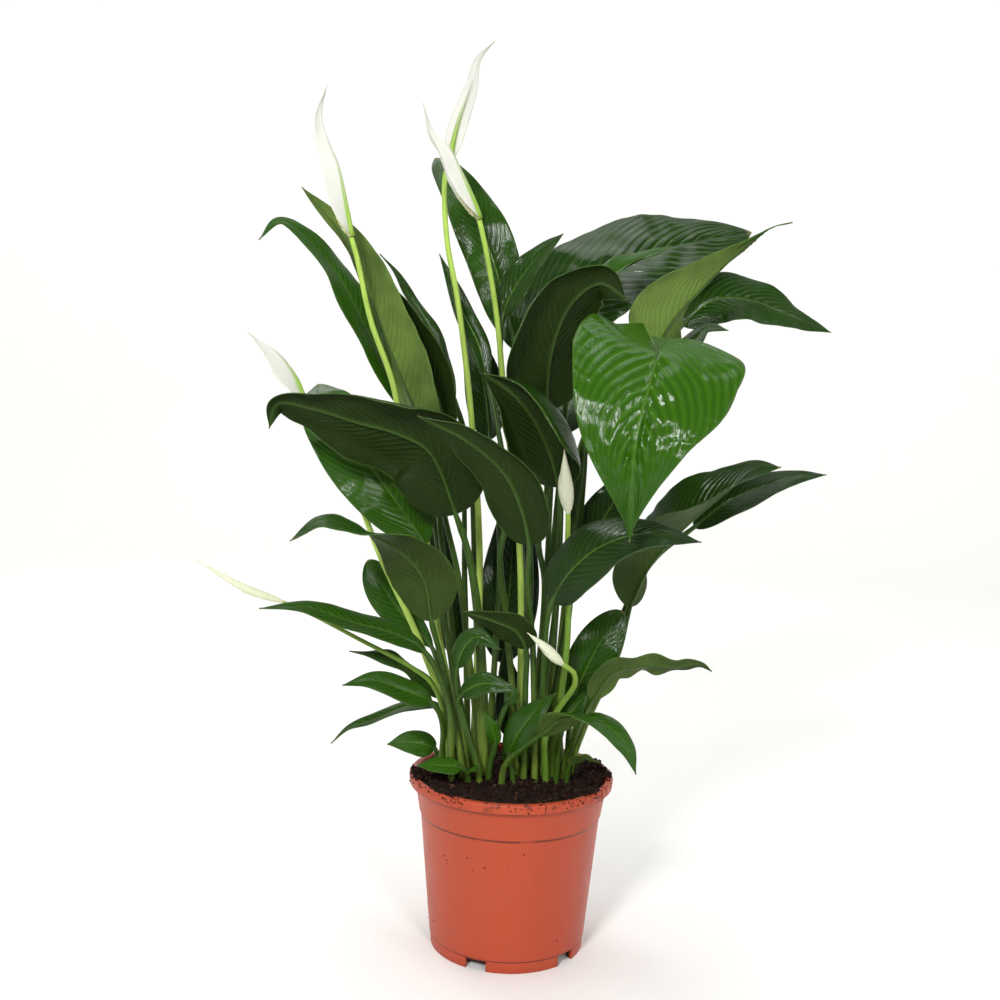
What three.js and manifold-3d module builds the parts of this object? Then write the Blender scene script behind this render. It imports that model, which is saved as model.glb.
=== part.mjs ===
// A peace lily in its nursery pot: one pot, one body of soil, the leaves and the flowers.
// Millimetres, +Z up. The pot's axis stands at PLACE, so that the origin lies under the middle of
// the whole plant's outline, on the surface that the pot stands on.
import * as THREE from 'three';
import { mergeVertices } from 'three/addons/utils/BufferGeometryUtils.js';
import Module from 'manifold-3d';

const wasm = await Module();
wasm.setup();

// ---------- driving dimensions ----------
const PLACE = [-15, -11, 0]; // the pot's axis, seen from the origin

const LIP_RADIUS = 85.6; // the 17 cm nursery pot, over its rolled lip
const POT_HEIGHT = 147;
const LIP_DEPTH = 8.5; // height of the rolled lip
const STEP_HEIGHT = 115; // where the upper band ends in a small step
const BAND_RADIUS = 76.8; // the band, just above the step
const BASE_RADIUS = 65.8; // foot of the tapered wall
const FLOOR_HEIGHT = 10; // the floor is raised on the foot ring
const FLOOR_THICKNESS = 2;
const WALL = 1.7;
const FEET = 5; // the foot ring is cut into this many feet
const FOOT_GAP = 18; // width of each cut
const FOOT_TURN = -23; // degrees from the front to the first cut
const DRAIN_RADIUS = 6;
const DRAIN_CIRCLE = 52;
const POT_SIDES = 40;
const LIP_WIDTH = 5.1; // how far the lip stands out from the band's top
const FOOT_RING = 4; // the ring's inner wall, in from the base
const BEND = 1.1; // how far the step stands out over the wall below it

const SOIL_EDGE = 140.5; // height of the soil at the wall
const SOIL_MOUND = 6.5; // how much higher it is in the middle
const SOIL_SIDES = 32;
const SOIL_RINGS = [0.97, 0.86, 0.7, 0.52, 0.34, 0.16, 0]; // of its top, as shares of its radius
const STEM_BURIED = 100; // height of the buried end of a stem
const STEM_OUT = 152; // height where a stem has left the soil
const GAP = 0.35; // clearance between pieces that touch

const BLADE = 1.0; // thickness of a leaf blade
const SPATHE = 0.9; // thickness of a spathe
const RIB = 1.3; // how far the midrib stands out under the blade, at its base
const BROAD = 19; // a blade with a greater half width than this is split more finely
const EDGE = 1.3; // half width of a blade at its two ends
const BASE = 0.6; // how blunt a common blade's base is: 0.4 heart-shaped, 0.9 wedge-shaped
const POINT = 1.1; // how drawn out its tip is
const ARCH = 0.12; // how far a blade's edges hang below its middle, against half its width
const WAVE_SHIFT = 2.2; // radians by which the left edge's waves run ahead of the right edge's
const CORNER_AT = 1 / 7; // how far from the neck to the tip a blade's drawn-out corner stands
const CORNER_SPAN = 0.09; // and how much of that way it takes up on each side
const STEM_SEAT = 0.12; // share of the blade's length over which its stem runs on under it
const STEM_SIDES = 5;
const STEM_STEP = 70; // longest straight stretch of a stem
const FOOT_RADIUS = 3.2; // of a common stem, in the soil
const NECK_RADIUS = 2.0; // of a common stem, where the blade begins

const SPATHE_BASE = 0.5; // as BASE and POINT, for a spathe
const SPATHE_POINT = 1.2;
const SPADIX_RADIUS = 2.9; // at its widest; it narrows by SPADIX_TAPER to its round tip
const SPADIX_TAPER = 1.2;
const SPADIX_LEAN = 7; // how far it stands off the spathe
const BUD_ROWS = [0.1, 0.3, 0.5, 0.75, 1]; // of a closed flower, from the stalk's end to the tip
const BUD_TIP = 0.5; // radius of its tip

const POT_COLOUR = '#c25a43';
const SOIL_COLOUR = '#2a1a14';
const LEAF_COLOUR = '#2f5a1c';
const STALK_COLOUR = '#a3bf55';
const SPATHE_COLOUR = '#f1f2e6';

// ---------- the leaves ----------
// foot: place in the soil. stem: way up to the neck, its last point. blade: way of the midrib to the tip.
// wide: half the blade's width. up: where its upper face looks, from the neck to the tip.
// fold: degrees by which its two halves are raised, the right one first, as seen towards the tip.
// base, point: how blunt the base is and how drawn out the tip. lobes: how far the base runs back, right
// and left. corner: how far the left lobe is drawn out into a corner.
// wave, waves: height and number of the edge's waves. foot_radius, neck_radius: of a stem that is thicker
// in its sheath or thinner at its neck than a common one.
// twin: a second blade on a stem of its own that leaves the soil at the same foot.
const LEAVES = [
  // the right clump, from the front leaf back
  {
    name: 'leaf_heart', foot: [38, -6], wide: 63, fold: [8, 8], base: 0.4, point: 1.5,
    lobes: [48, 22], corner: 14, wave: 3, waves: 1.5,
    stem: [[40, -7, 213], [43, -8, 298], [46, -9, 364], [52, -18, 430], [68, -42, 474],
      [90, -72, 503], [97, -88, 501]],
    blade: [[90, -112, 475], [80, -128, 435], [79, -122, 360]],
    up: [[0, -0.9, 0.5], [0, -1, 0.1]],
  },
  {
    name: 'leaf_right_low', foot: [42, -14], wide: 17, fold: [12, 12], wave: 2, waves: 4,
    stem: [[51, -32, 189], [63, -42, 221]],
    blade: [[76, -48, 244], [99, -52, 253], [127, -52, 253], [147, -50, 255], [157, -48, 249]],
    up: [[-0.1, 0.65, 0.75], [-0.1, 0.65, 0.75]],
  },
  {
    name: 'leaf_right_long', foot: [51, 2], wide: 42, fold: [62, 26], wave: 3, waves: 3,
    stem: [[60, 4, 183], [88, 4, 253], [95, 2, 290]],
    blade: [[109, 0, 326], [133, -2, 355], [170, 2, 388], [197, 6, 408], [216, 4, 411]],
    up: [[-0.6, 0.6, 0.5], [-0.4, -0.5, 0.75], [-0.3, -0.8, 0.5]],
  },
  {
    name: 'leaf_right_far', foot: [48, 11], wide: 16, fold: [10, 10], wave: 1.5, waves: 2,
    stem: [[54, 16, 180], [83, 24, 246], [96, 32, 288], [119, 37, 327], [151, 36, 355]],
    blade: [[176, 33, 377], [208, 36, 392], [236, 37, 401], [262, 34, 404]],
    up: [[-0.2, -0.75, 0.6], [-0.2, -0.75, 0.6]],
  },
  {
    name: 'leaf_right_glossy', foot: [25, -14], wide: 23, fold: [8, 8], base: 0.45, wave: 2,
    waves: 2,
    stem: [[23, -38, 238], [24, -54, 288], [27, -60, 304]],
    blade: [[40, -72, 330], [63, -82, 352], [96, -88, 363], [138, -84, 357]],
    up: [[-0.3, -0.75, 0.5], [0, -0.8, 0.6]],
  },
  {
    name: 'leaf_right_dark', foot: [24, 2], wide: 20, fold: [10, 10], wave: 2, waves: 2,
    stem: [[35, -13, 230], [42, -18, 290], [49, -20, 325]],
    blade: [[66, -24, 363], [85, -28, 396], [101, -32, 420]],
    up: [[-0.4, -0.85, 0.3], [-0.4, -0.85, 0.3]],
  },
  {
    name: 'leaf_right_broad', foot: [47, -6], wide: 19, fold: [6, 6], point: 0.55, wave: 1.5,
    waves: 2,
    stem: [[47, -8, 181], [49, -14, 208]],
    blade: [[57, -19, 237], [69, -20, 263], [87, -16, 290]],
    up: [[-0.1, -0.95, 0.3], [-0.1, -0.95, 0.3]],
  },
  {
    name: 'leaf_right_arch', foot: [-8, -37], wide: 16, fold: [5, 5], wave: 1.5, waves: 2,
    stem: [[-6, -38, 164], [9, -50, 183], [21, -60, 196]],
    blade: [[40, -74, 216], [60, -84, 218], [75, -90, 211], [87, -94, 198], [94, -96, 178]],
    up: [[0, 0.75, 0.65], [0.3, -0.9, 0.3]],
  },
  {
    name: 'leaf_right_young', foot: [1, -30], wide: 14, fold: [10, 10], wave: 1, waves: 2,
    stem: [[-3, -30, 169]],
    blade: [[4, -38, 190], [16, -44, 209], [33, -46, 227]],
    up: [[-0.5, -0.8, 0.3], [-0.5, -0.8, 0.3]],
  },
  {
    name: 'leaf_right_small', foot: [37, -22], wide: 9, fold: [8, 8], wave: 1, waves: 2,
    stem: [[41, -34, 198]],
    blade: [[50, -40, 215], [62, -44, 230]],
    up: [[-0.3, -0.9, 0.3], [-0.3, -0.9, 0.3]],
  },
  {
    name: 'leaf_right_soil', foot: [46, -22], wide: 9, fold: [8, 8], wave: 1, waves: 2,
    stem: [[48, -23, 161]],
    blade: [[57, -27, 169], [72, -31, 166]],
    up: [[0, 0.5, 0.85], [0, 0.5, 0.85]],
  },
  {
    name: 'leaf_rolled', foot: [29, -6], wide: 9, fold: [58, 58], wave: 0, waves: 1,
    stem: [[41, -28, 267], [42, -30, 333]],
    blade: [[47, -34, 382], [49, -36, 414], [50, -38, 442]],
    up: [[0, 0.9, 0], [0, 0.9, 0]],
  },
  {
    name: 'leaf_front_low', foot: [10, -22], wide: 15, fold: [8, 8], wave: 1.5, waves: 2,
    stem: [[9, -33, 226], [8, -46, 262]],
    blade: [[0, -55, 278], [-16, -60, 286], [-43, -62, 294]],
    up: [[0, 0.8, 0.55], [0, 0.8, 0.55]],
  },
  {
    name: 'leaf_front_dark', foot: [19, -22], wide: 24, fold: [6, 6], base: 0.5, wave: 2,
    waves: 2.5,
    stem: [[13, -42, 269], [7, -60, 317], [7, -77, 350]],
    blade: [[0, -88, 379], [-14, -96, 406], [-43, -104, 430], [-79, -106, 447]],
    up: [[0.1, 0.85, 0.5], [0.1, 0.85, 0.5]],
  },
  {
    name: 'leaf_centre_curled', foot: [20, -6], wide: 36, fold: [16, 16], wave: 3, waves: 1.5,
    stem: [[31, -42, 302], [31, -45, 343], [30, -50, 393]],
    blade: [[15, -60, 433], [-5, -66, 461], [-32, -70, 480]],
    up: [[0.3, 0.9, 0.3], [0.3, 0.9, 0.3]],
  },
  {
    name: 'leaf_centre_big', foot: [15, 2], wide: 45, fold: [6, 30], wave: 3, waves: 2,
    stem: [[22, -20, 313], [16, -22, 345], [21, -25, 382], [18, -30, 453]],
    blade: [[21, -38, 501], [35, -42, 537], [56, -48, 552], [77, -55, 540]],
    up: [[-0.3, 0.9, 0.3], [-0.3, 0.9, 0.3]],
  },
  {
    name: 'leaf_light_right', foot: [33, 2], wide: 44, fold: [10, 55], base: 0.5, point: 2.6,
    wave: 2, waves: 2,
    stem: [[36, 8, 217], [41, 8, 295], [45, 8, 362], [51, 6, 429], [79, 0, 475], [104, -5, 502]],
    blade: [[120, -8, 529], [140, -8, 553], [169, -5, 583], [196, 0, 605], [215, 4, 611]],
    up: [[-0.4, 0.8, 0.45], [-0.4, 0.8, 0.45]],
  },
  {
    name: 'leaf_back_tip', foot: [42, 2], wide: 14, fold: [10, 10], wave: 1, waves: 2,
    stem: [[38, 18, 205], [44, 20, 283], [48, 24, 360], [56, 25, 428], [86, 25, 463], [115, 28, 484]],
    blade: [[140, 28, 510], [153, 26, 525], [170, 20, 523]],
    up: [[-0.5, -0.5, 0.7], [-0.3, -0.5, 0.8]],
  },
  {
    name: 'leaf_light_narrow', foot: [20, 10], wide: 16, fold: [25, 25], wave: 1.5, waves: 2,
    stem: [[33, 15, 394], [40, 12, 503], [49, 8, 540]],
    blade: [[59, 5, 556], [85, 0, 574], [116, -5, 588]],
    up: [[0, -0.45, 0.9], [0, -0.45, 0.9]],
  },
  {
    name: 'leaf_top_striped', foot: [2, 10], wide: 15, fold: [15, 15], wave: 1.5, waves: 2,
    stem: [[11, 25, 324], [-16, 22, 460], [-19, 20, 528]],
    blade: [[-7, 17, 557], [10, 12, 580], [29, 8, 597]],
    up: [[-0.5, -0.8, 0.3], [-0.5, -0.8, 0.3]],
  },
  {
    name: 'leaf_top_right', foot: [29, 10], wide: 50, fold: [6, 6], base: 0.5, point: 0.8, wave: 3,
    waves: 3,
    stem: [[35, 40, 392], [22, 45, 460], [3, 48, 507]],
    blade: [[34, 52, 548], [82, 56, 580], [141, 66, 600], [197, 80, 612]],
    up: [[-0.3, -0.8, 0.5], [-0.3, -0.8, 0.5]],
  },
  {
    name: 'leaf_droop_right', foot: [38, 10], wide: 26, fold: [12, 12], wave: 2, waves: 3,
    stem: [[41, 30, 211], [47, 36, 289], [51, 42, 358], [60, 50, 427], [102, 58, 480], [137, 62, 528]],
    blade: [[166, 70, 552], [198, 76, 553], [234, 78, 540], [271, 78, 527]],
    up: [[0.1, -0.85, 0.5], [0.2, -0.8, 0.6]],
  },
  {
    name: 'leaf_back_right', foot: [20, 18], wide: 31, fold: [10, 10], wave: 3, waves: 2.5,
    stem: [[26, 45, 310], [32, 60, 430]],
    blade: [[48, 90, 462], [64, 120, 450], [78, 150, 410]],
    up: [[0.1, 0.1, 1], [0.4, 0.6, 0.6]],
  },
  {
    name: 'leaf_top_centre', foot: [11, 18], wide: 23, fold: [8, 8], point: 0.7, wave: 3,
    waves: 2.5,
    stem: [[4, 35, 322], [-6, 38, 440], [-7, 40, 502]],
    blade: [[-19, 42, 548], [-35, 46, 594], [-56, 55, 633], [-75, 68, 659], [-82, 82, 668]],
    up: [[0.1, -0.95, 0.2], [-0.2, -0.7, 0.7]],
  },
  // the left clump, from the front leaf back
  {
    name: 'leaf_left_big', foot: [-24, -16], wide: 42, fold: [8, 8], base: 0.5, wave: 3, waves: 3,
    foot_radius: 6.5,
    stem: [[-26, -22, 213], [-31, -34, 282], [-40, -42, 336], [-51, -50, 369]],
    blade: [[-72, -58, 418], [-97, -64, 432], [-128, -72, 440], [-159, -80, 449], [-186, -86, 452],
      [-191, -92, 434]],
    up: [[-0.2, 0.75, 0.6], [-0.2, 0.75, 0.6]],
  },
  {
    name: 'leaf_left_hook', foot: [-41, -22], wide: 28, fold: [6, 6], wave: 1.5, waves: 2,
    stem: [[-49, -22, 198], [-59, -37, 247], [-68, -54, 284]],
    blade: [[-74, -66, 320], [-94, -72, 343], [-131, -78, 361], [-152, -80, 365], [-176, -82, 348]],
    up: [[0, 0.9, 0.3], [0, -0.5, 0.85]],
  },
  {
    name: 'leaf_left_glossy', foot: [-38, -14], wide: 31, fold: [8, 8], point: 0.7, wave: 3,
    waves: 3,
    stem: [[-56, -18, 262], [-65, -26, 304], [-76, -30, 341]],
    blade: [[-101, -30, 377], [-138, -26, 423], [-164, -12, 455], [-171, 14, 468]],
    up: [[-0.2, -0.9, 0.35], [-0.3, -0.5, 0.8]],
  },
  {
    name: 'leaf_left_slim', foot: [-50, -24], wide: 12, fold: [12, 12], wave: 1, waves: 2,
    stem: [[-53, -38, 212], [-72, -55, 259]],
    blade: [[-95, -66, 275], [-129, -80, 287], [-165, -94, 300], [-195, -102, 299]],
    up: [[-0.1, -0.6, 0.8], [-0.1, -0.6, 0.8]],
  },
  {
    name: 'leaf_left_oval', foot: [-57, 2], wide: 16, fold: [6, 6], base: 0.9, point: 0.6, wave: 1,
    waves: 2,
    stem: [[-58, 2, 207], [-69, 6, 248]],
    blade: [[-91, 8, 271], [-112, 10, 297], [-126, 12, 322]],
    up: [[0, -0.95, 0.3], [0, -0.95, 0.3]],
  },
  {
    name: 'leaf_left_twist', foot: [-43, -6], wide: 10, fold: [10, 10], wave: 2.5, waves: 2,
    stem: [[-55, -14, 192], [-62, -21, 214]],
    blade: [[-81, -30, 234], [-103, -40, 250], [-133, -50, 257]],
    up: [[0, -0.5, 0.85], [0, -0.5, 0.85]],
  },
  {
    name: 'leaf_left_short', foot: [-59, -13], wide: 12, fold: [8, 8], wave: 1, waves: 2,
    stem: [[-58, -28, 193], [-66, -43, 215]],
    blade: [[-90, -57, 229], [-113, -67, 238], [-135, -74, 235]],
    up: [[0, -0.7, 0.7], [0, -0.7, 0.7]],
  },
  {
    name: 'leaf_left_droop', foot: [-52, 10], wide: 7, fold: [18, 18], wave: 1, waves: 2,
    stem: [[-53, 13, 179], [-60, 17, 195]],
    blade: [[-89, 20, 195], [-120, 25, 181], [-142, 28, 172], [-157, 30, 157]],
    up: [[0, -0.5, 0.85], [0, -0.5, 0.85]],
  },
  {
    name: 'leaf_left_rim', foot: [-63, 11], wide: 12, fold: [8, 8], wave: 0.8, waves: 2,
    stem: [[-65, 10, 161]],
    blade: [[-79, 8, 166], [-92, 7, 167], [-106, 6, 165]],
    up: [[0, -0.75, 0.65], [0, -0.75, 0.65]],
  },
  {
    name: 'leaf_left_soil', foot: [-36, -32], wide: 9, fold: [8, 8], wave: 0.8, waves: 2,
    stem: [[-41, -36, 160]],
    blade: [[-55, -41, 163], [-77, -46, 164]],
    up: [[0, -0.6, 0.8], [0, -0.6, 0.8]],
    twin: { wide: 5, stem: [[-35, -36, 158]], blade: [[-31, -42, 161], [-27, -47, 162]] },
  },
  {
    name: 'leaf_left_pair', foot: [-27, -31], wide: 10, fold: [10, 10], wave: 1, waves: 2,
    stem: [[-45, -38, 217], [-47, -46, 245]],
    blade: [[-40, -52, 265], [-31, -56, 273], [-12, -60, 264]],
    up: [[-0.3, -0.8, 0.5], [-0.3, -0.8, 0.5]],
    twin: { wide: 10, stem: [[-45, -38, 212], [-43, -46, 223]], blade: [[-24, -58, 236], [3, -62, 232]] },
  },
  {
    name: 'leaf_bright_pair', foot: [-19, -27], wide: 6, fold: [8, 8], wave: 0.5, waves: 2,
    stem: [[-18, -28, 161], [-15, -29, 175], [-12, -32, 195], [-6, -36, 214]],
    blade: [[-2, -38, 223], [-9, -40, 232]],
    up: [[0, -0.9, 0.4], [0, -0.9, 0.4]],
    twin: { wide: 6, stem: [[-18, -28, 161], [-14, -31, 178]], blade: [[-18, -38, 196], [-24, -42, 209]] },
  },
  {
    name: 'leaf_left_backlit', foot: [-27, 3], wide: 31, fold: [55, 8], wave: 2, waves: 3,
    stem: [[-38, 2, 240], [-49, 0, 311], [-63, 0, 367], [-73, 0, 417]],
    blade: [[-98, 2, 470], [-112, 4, 502], [-127, 6, 538], [-150, 8, 588], [-186, 8, 628]],
    up: [[0.35, 0.85, 0.4], [0.35, 0.85, 0.4]],
  },
  {
    name: 'leaf_left_shaded', foot: [-37, 2], wide: 22, fold: [10, 10], wave: 2, waves: 3,
    stem: [[-50, 12, 231], [-59, 14, 306], [-67, 18, 357], [-63, 26, 424]],
    blade: [[-72, 30, 462], [-92, 32, 504], [-119, 34, 541], [-154, 40, 594]],
    up: [[0.4, 0.8, 0.45], [0.4, 0.8, 0.45]],
  },
  {
    name: 'leaf_left_high', foot: [-47, 18], wide: 17, fold: [12, 12], wave: 2, waves: 3,
    stem: [[-61, 32, 287], [-81, 34, 390], [-101, 36, 449]],
    blade: [[-131, 38, 510], [-167, 38, 571], [-207, 32, 604], [-223, 20, 586]],
    up: [[0.6, -0.6, 0.5], [0.3, -0.6, 0.7]],
  },
  {
    name: 'leaf_thin_curl', foot: [-29, 27], wide: 8, fold: [15, 15], point: 1.1, wave: 1.5,
    waves: 3,
    stem: [[-37, 45, 320], [-45, 48, 415], [-58, 48, 458]],
    blade: [[-72, 48, 500], [-85, 48, 526], [-99, 46, 545], [-110, 42, 564], [-124, 36, 579]],
    up: [[0.5, -0.7, 0.4], [0.5, -0.7, 0.4]],
  },
  {
    name: 'leaf_slim_upright', foot: [5, -14], wide: 10, fold: [18, 18], wave: 1, waves: 2,
    stem: [[-9, -10, 285], [-15, -12, 333], [-9, -8, 371], [-22, 2, 445], [-30, 11, 476]],
    blade: [[-38, 16, 504], [-51, 18, 529], [-61, 20, 553], [-73, 22, 579]],
    up: [[0.3, -0.9, 0.2], [0.3, -0.9, 0.2]],
  },
  {
    name: 'leaf_centre_back', foot: [-20, 18], wide: 18, fold: [8, 8], wave: 2, waves: 2,
    stem: [[-15, 55, 319], [-21, 60, 389], [-27, 62, 424]],
    blade: [[-32, 66, 463], [-41, 68, 498], [-56, 70, 529]],
    up: [[0.1, -0.95, 0.3], [0.1, -0.95, 0.3]],
  },
  {
    name: 'leaf_back_left', foot: [-38, 18], wide: 30, fold: [10, 10], wave: 3, waves: 2.5,
    stem: [[-45, 45, 300], [-52, 62, 400]],
    blade: [[-70, 92, 430], [-92, 122, 420], [-110, 150, 385]],
    up: [[-0.1, 0.1, 1], [-0.4, 0.5, 0.7]],
  },
  {
    name: 'leaf_back_middle', foot: [-20, 27], wide: 27, fold: [12, 12], wave: 3, waves: 2.5,
    stem: [[-14, 44, 190], [-10, 54, 227]],
    blade: [[-8, 60, 254], [-5, 66, 302], [-4, 71, 356], [-9, 74, 394]],
    up: [[0, -0.95, 0.3], [0, -0.95, 0.3]],
  },
  {
    name: 'leaf_back_low', foot: [-38, 27], wide: 15, fold: [10, 10], wave: 2, waves: 2,
    stem: [[-45, 38, 190], [-52, 46, 233]],
    blade: [[-56, 52, 260], [-64, 58, 310], [-69, 60, 350], [-68, 60, 382]],
    up: [[0.1, -0.95, 0.3], [0.1, -0.95, 0.3]],
  },
  {
    name: 'leaf_back_short', foot: [-6, 26], wide: 12, fold: [10, 10], wave: 1, waves: 2,
    stem: [[-4, 30, 168]],
    blade: [[-3, 33, 190], [-3, 35, 214], [-8, 38, 244]],
    up: [[0, -0.95, 0.2], [0, -0.95, 0.2]],
  },
];

// ---------- the flowers ----------
// stem: way of the stalk. blade, wide, up, fold: the spathe, as on a leaf. spadix: its length.
// A closed flower has bud, the greatest radius of the spathe rolled round it, and no spadix of its own.
const FLOWERS = [
  {
    name: 'flower_tall', foot: [-33, 10], wide: 9, fold: [35, 35], spadix: 42,
    stem: [[-32, 8, 325], [-43, 4, 451], [-56, 2, 540], [-66, 2, 588], [-69, 4, 639], [-65, 4, 653]],
    blade: [[-63, 4, 667], [-59, 4, 684], [-50, 4, 711], [-45, 4, 732], [-32, 4, 747]],
    up: [[0.1, 0.95, 0.1], [0.1, 0.95, 0.1]],
  },
  {
    name: 'flower_centre', foot: [6, 2], wide: 16, fold: [58, 58], spadix: 36,
    stem: [[2, 12, 326], [-15, 12, 460], [-24, 12, 530], [-32, 4, 572], [-40, -6, 604]],
    blade: [[-45, -9, 618], [-56, -13, 641], [-65, -16, 657], [-79, -18, 672], [-87, -20, 692]],
    up: [[-0.95, -0.1, -0.4], [-0.9, -0.1, -0.4]],
  },
  {
    name: 'flower_left', foot: [-43, 10], wide: 18, fold: [58, 58], spadix: 40,
    stem: [[-63, -6, 259], [-77, -12, 347], [-90, -10, 386], [-106, -12, 469], [-125, -16, 521],
      [-137, -20, 572], [-141, -22, 585]],
    blade: [[-145, -22, 605], [-153, -22, 641], [-160, -21, 656], [-167, -20, 678], [-163, -18, 704]],
    up: [[-0.95, 0, -0.3], [-0.9, 0, -0.4]],
  },
  {
    name: 'flower_far_left', foot: [-52, -6], wide: 19, fold: [58, 58], spadix: 28,
    stem: [[-58, -7, 200], [-75, -5, 245], [-86, -6, 271], [-113, -2, 324], [-142, 10, 389],
      [-171, 20, 438], [-184, 20, 456]],
    blade: [[-190, 20, 471], [-199, 18, 485], [-208, 17, 494], [-219, 15, 501], [-230, 12, 509]],
    up: [[-0.75, -0.1, -0.6], [-0.6, -0.1, -0.7]],
  },
  {
    name: 'bud_low_left', foot: [-49, -15], bud: 2.8, foot_radius: 2.4, neck_radius: 1.3,
    stem: [[-65, -30, 224], [-83, -42, 243], [-125, -62, 270], [-164, -80, 294], [-181, -86, 302]],
    blade: [[-208, -98, 314], [-224, -103, 324], [-240, -108, 335]],
  },
  {
    name: 'bud_centre', foot: [33, -14], bud: 5.5,
    stem: [[41, -42, 269], [38, -52, 348], [37, -58, 375]],
    blade: [[34, -63, 399], [32, -67, 424]],
  },
  {
    name: 'bud_small', foot: [28, -22], bud: 3.5,
    stem: [[26, -38, 186], [34, -42, 210], [47, -50, 233], [48, -53, 240], [46, -57, 247],
      [36, -62, 255]],
    blade: [[23, -68, 268], [8, -74, 281]],
  },
];

// ---------- solids ----------
function solid(geometry) {
  const bare = geometry.clone();
  bare.deleteAttribute('normal');
  bare.deleteAttribute('uv');
  const welded = mergeVertices(bare, 1e-4);
  const made = new wasm.Manifold(new wasm.Mesh({
    numProp: 3,
    vertProperties: new Float32Array(welded.attributes.position.array),
    triVerts: new Uint32Array(welded.index.array),
  }));
  if (made.volume() <= 0) throw new Error('a solid is inside out');
  return made;
}

function geometryOf(manifold) {
  const mesh = manifold.getMesh();
  const geometry = new THREE.BufferGeometry();
  geometry.setAttribute('position', new THREE.BufferAttribute(new Float32Array(mesh.vertProperties), 3));
  geometry.setIndex(new THREE.BufferAttribute(new Uint32Array(mesh.triVerts), 1));
  geometry.computeVertexNormals();
  return geometry;
}

const vec = (p) => new THREE.Vector3(...p);

// The way of a stem and its blade in one curve, with the share of its length where the blade begins.
function wayOf(shoot) {
  const [x, y] = shoot.foot;
  const points = [[x, y, STEM_BURIED], [x, y, STEM_OUT], ...shoot.stem, ...shoot.blade].map(vec);
  const curve = new THREE.CatmullRomCurve3(points, false, 'centripetal');
  const parts = 20;
  curve.arcLengthDivisions = parts * (points.length - 1);
  const lengths = curve.getLengths();
  const shareAt = (index) => lengths[index * parts] / lengths[lengths.length - 1];
  const neck = points.length - 1 - shoot.blade.length;
  return { curve, shareAt, neck, length: lengths[lengths.length - 1] };
}

// The stations of a stem: short stretches between the points of its way, and on along its blade's rows.
function stationsOf(way, ends) {
  const stations = [0];
  for (let i = 1; i <= way.neck; i++) {
    const from = way.shareAt(i - 1);
    const to = way.shareAt(i);
    const stretches = Math.ceil(((to - from) * way.length) / STEM_STEP);
    for (let k = 1; k <= stretches; k++) stations.push(from + ((to - from) * k) / stretches);
  }
  return stations.concat(ends);
}

// A round tube with closed ends: a cylinder bent along the curve, its radius given at each station.
function tube(curve, stations, radiusAt, grow = 0) {
  const steps = stations.length - 1;
  const geometry = new THREE.CylinderGeometry(1, 1, 1, STEM_SIDES, steps);
  const frames = [];
  let across = new THREE.Vector3(1, 0, 0);
  for (const u of stations) {
    const along = curve.getTangentAt(u);
    across = across.clone().addScaledVector(along, -across.dot(along)).normalize();
    frames.push({ at: curve.getPointAt(u), across, aside: along.clone().cross(across) });
  }
  const position = geometry.attributes.position;
  for (let i = 0; i < position.count; i++) {
    const station = Math.round((position.getY(i) + 0.5) * steps);
    const { at, across: a, aside: b } = frames[station];
    const radius = radiusAt(stations[station]) + grow;
    const point = at.clone().addScaledVector(a, position.getZ(i) * radius);
    point.addScaledVector(b, position.getX(i) * radius);
    position.setXYZ(i, ...point);
  }
  return geometry;
}

// A point of the blade's middle surface: t runs from neck to tip, s from the right edge to the left one.
function bladePoint(shoot, way, t, s) {
  const neck = way.shareAt(way.neck);
  const u = neck + (1 - neck) * t;
  const along = way.curve.getTangentAt(u);
  const stages = shoot.up.length - 1;
  const stage = Math.min(Math.floor(t * stages), stages - 1);
  const face = vec(shoot.up[stage]).lerp(vec(shoot.up[stage + 1]), t * stages - stage);
  const side = face.cross(along).normalize();
  const up = along.clone().cross(side);
  const base = shoot.base ?? BASE;
  const point = shoot.point ?? POINT;
  const widest = base / (base + point);
  const outline = (t ** base * (1 - t) ** point) / (widest ** base * (1 - widest) ** point);
  const half = Math.max(shoot.wide * outline, EDGE);
  const out = Math.abs(s) * half;
  const middle = Math.sin(Math.PI * t); // nothing at the blade's two ends, 1 half way along
  const fold = THREE.MathUtils.degToRad(s < 0 ? shoot.fold[0] : shoot.fold[1]) * Math.sqrt(middle);
  const turn = 2 * Math.PI * (shoot.waves ?? 1) * t + (s < 0 ? 0 : WAVE_SHIFT);
  const ruffle = (shoot.wave ?? 0) * s * s * middle * Math.sin(turn);
  const lift = out * Math.sin(fold) - ARCH * half * s * s + ruffle;
  const back = (shoot.lobes ?? [0, 0])[s < 0 ? 0 : 1] * Math.abs(s) ** 1.5 * (1 - t) ** 3;
  const reach = Math.exp(-(((t - CORNER_AT) / CORNER_SPAN) ** 2));
  const corner = (shoot.corner ?? 0) * Math.max(s, 0) ** 3 * reach;
  return way.curve.getPointAt(u)
    .addScaledVector(side, Math.sign(s) * out * Math.cos(fold) + 0.3 * corner)
    .addScaledVector(up, lift)
    .addScaledVector(along, -back - corner);
}

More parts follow.
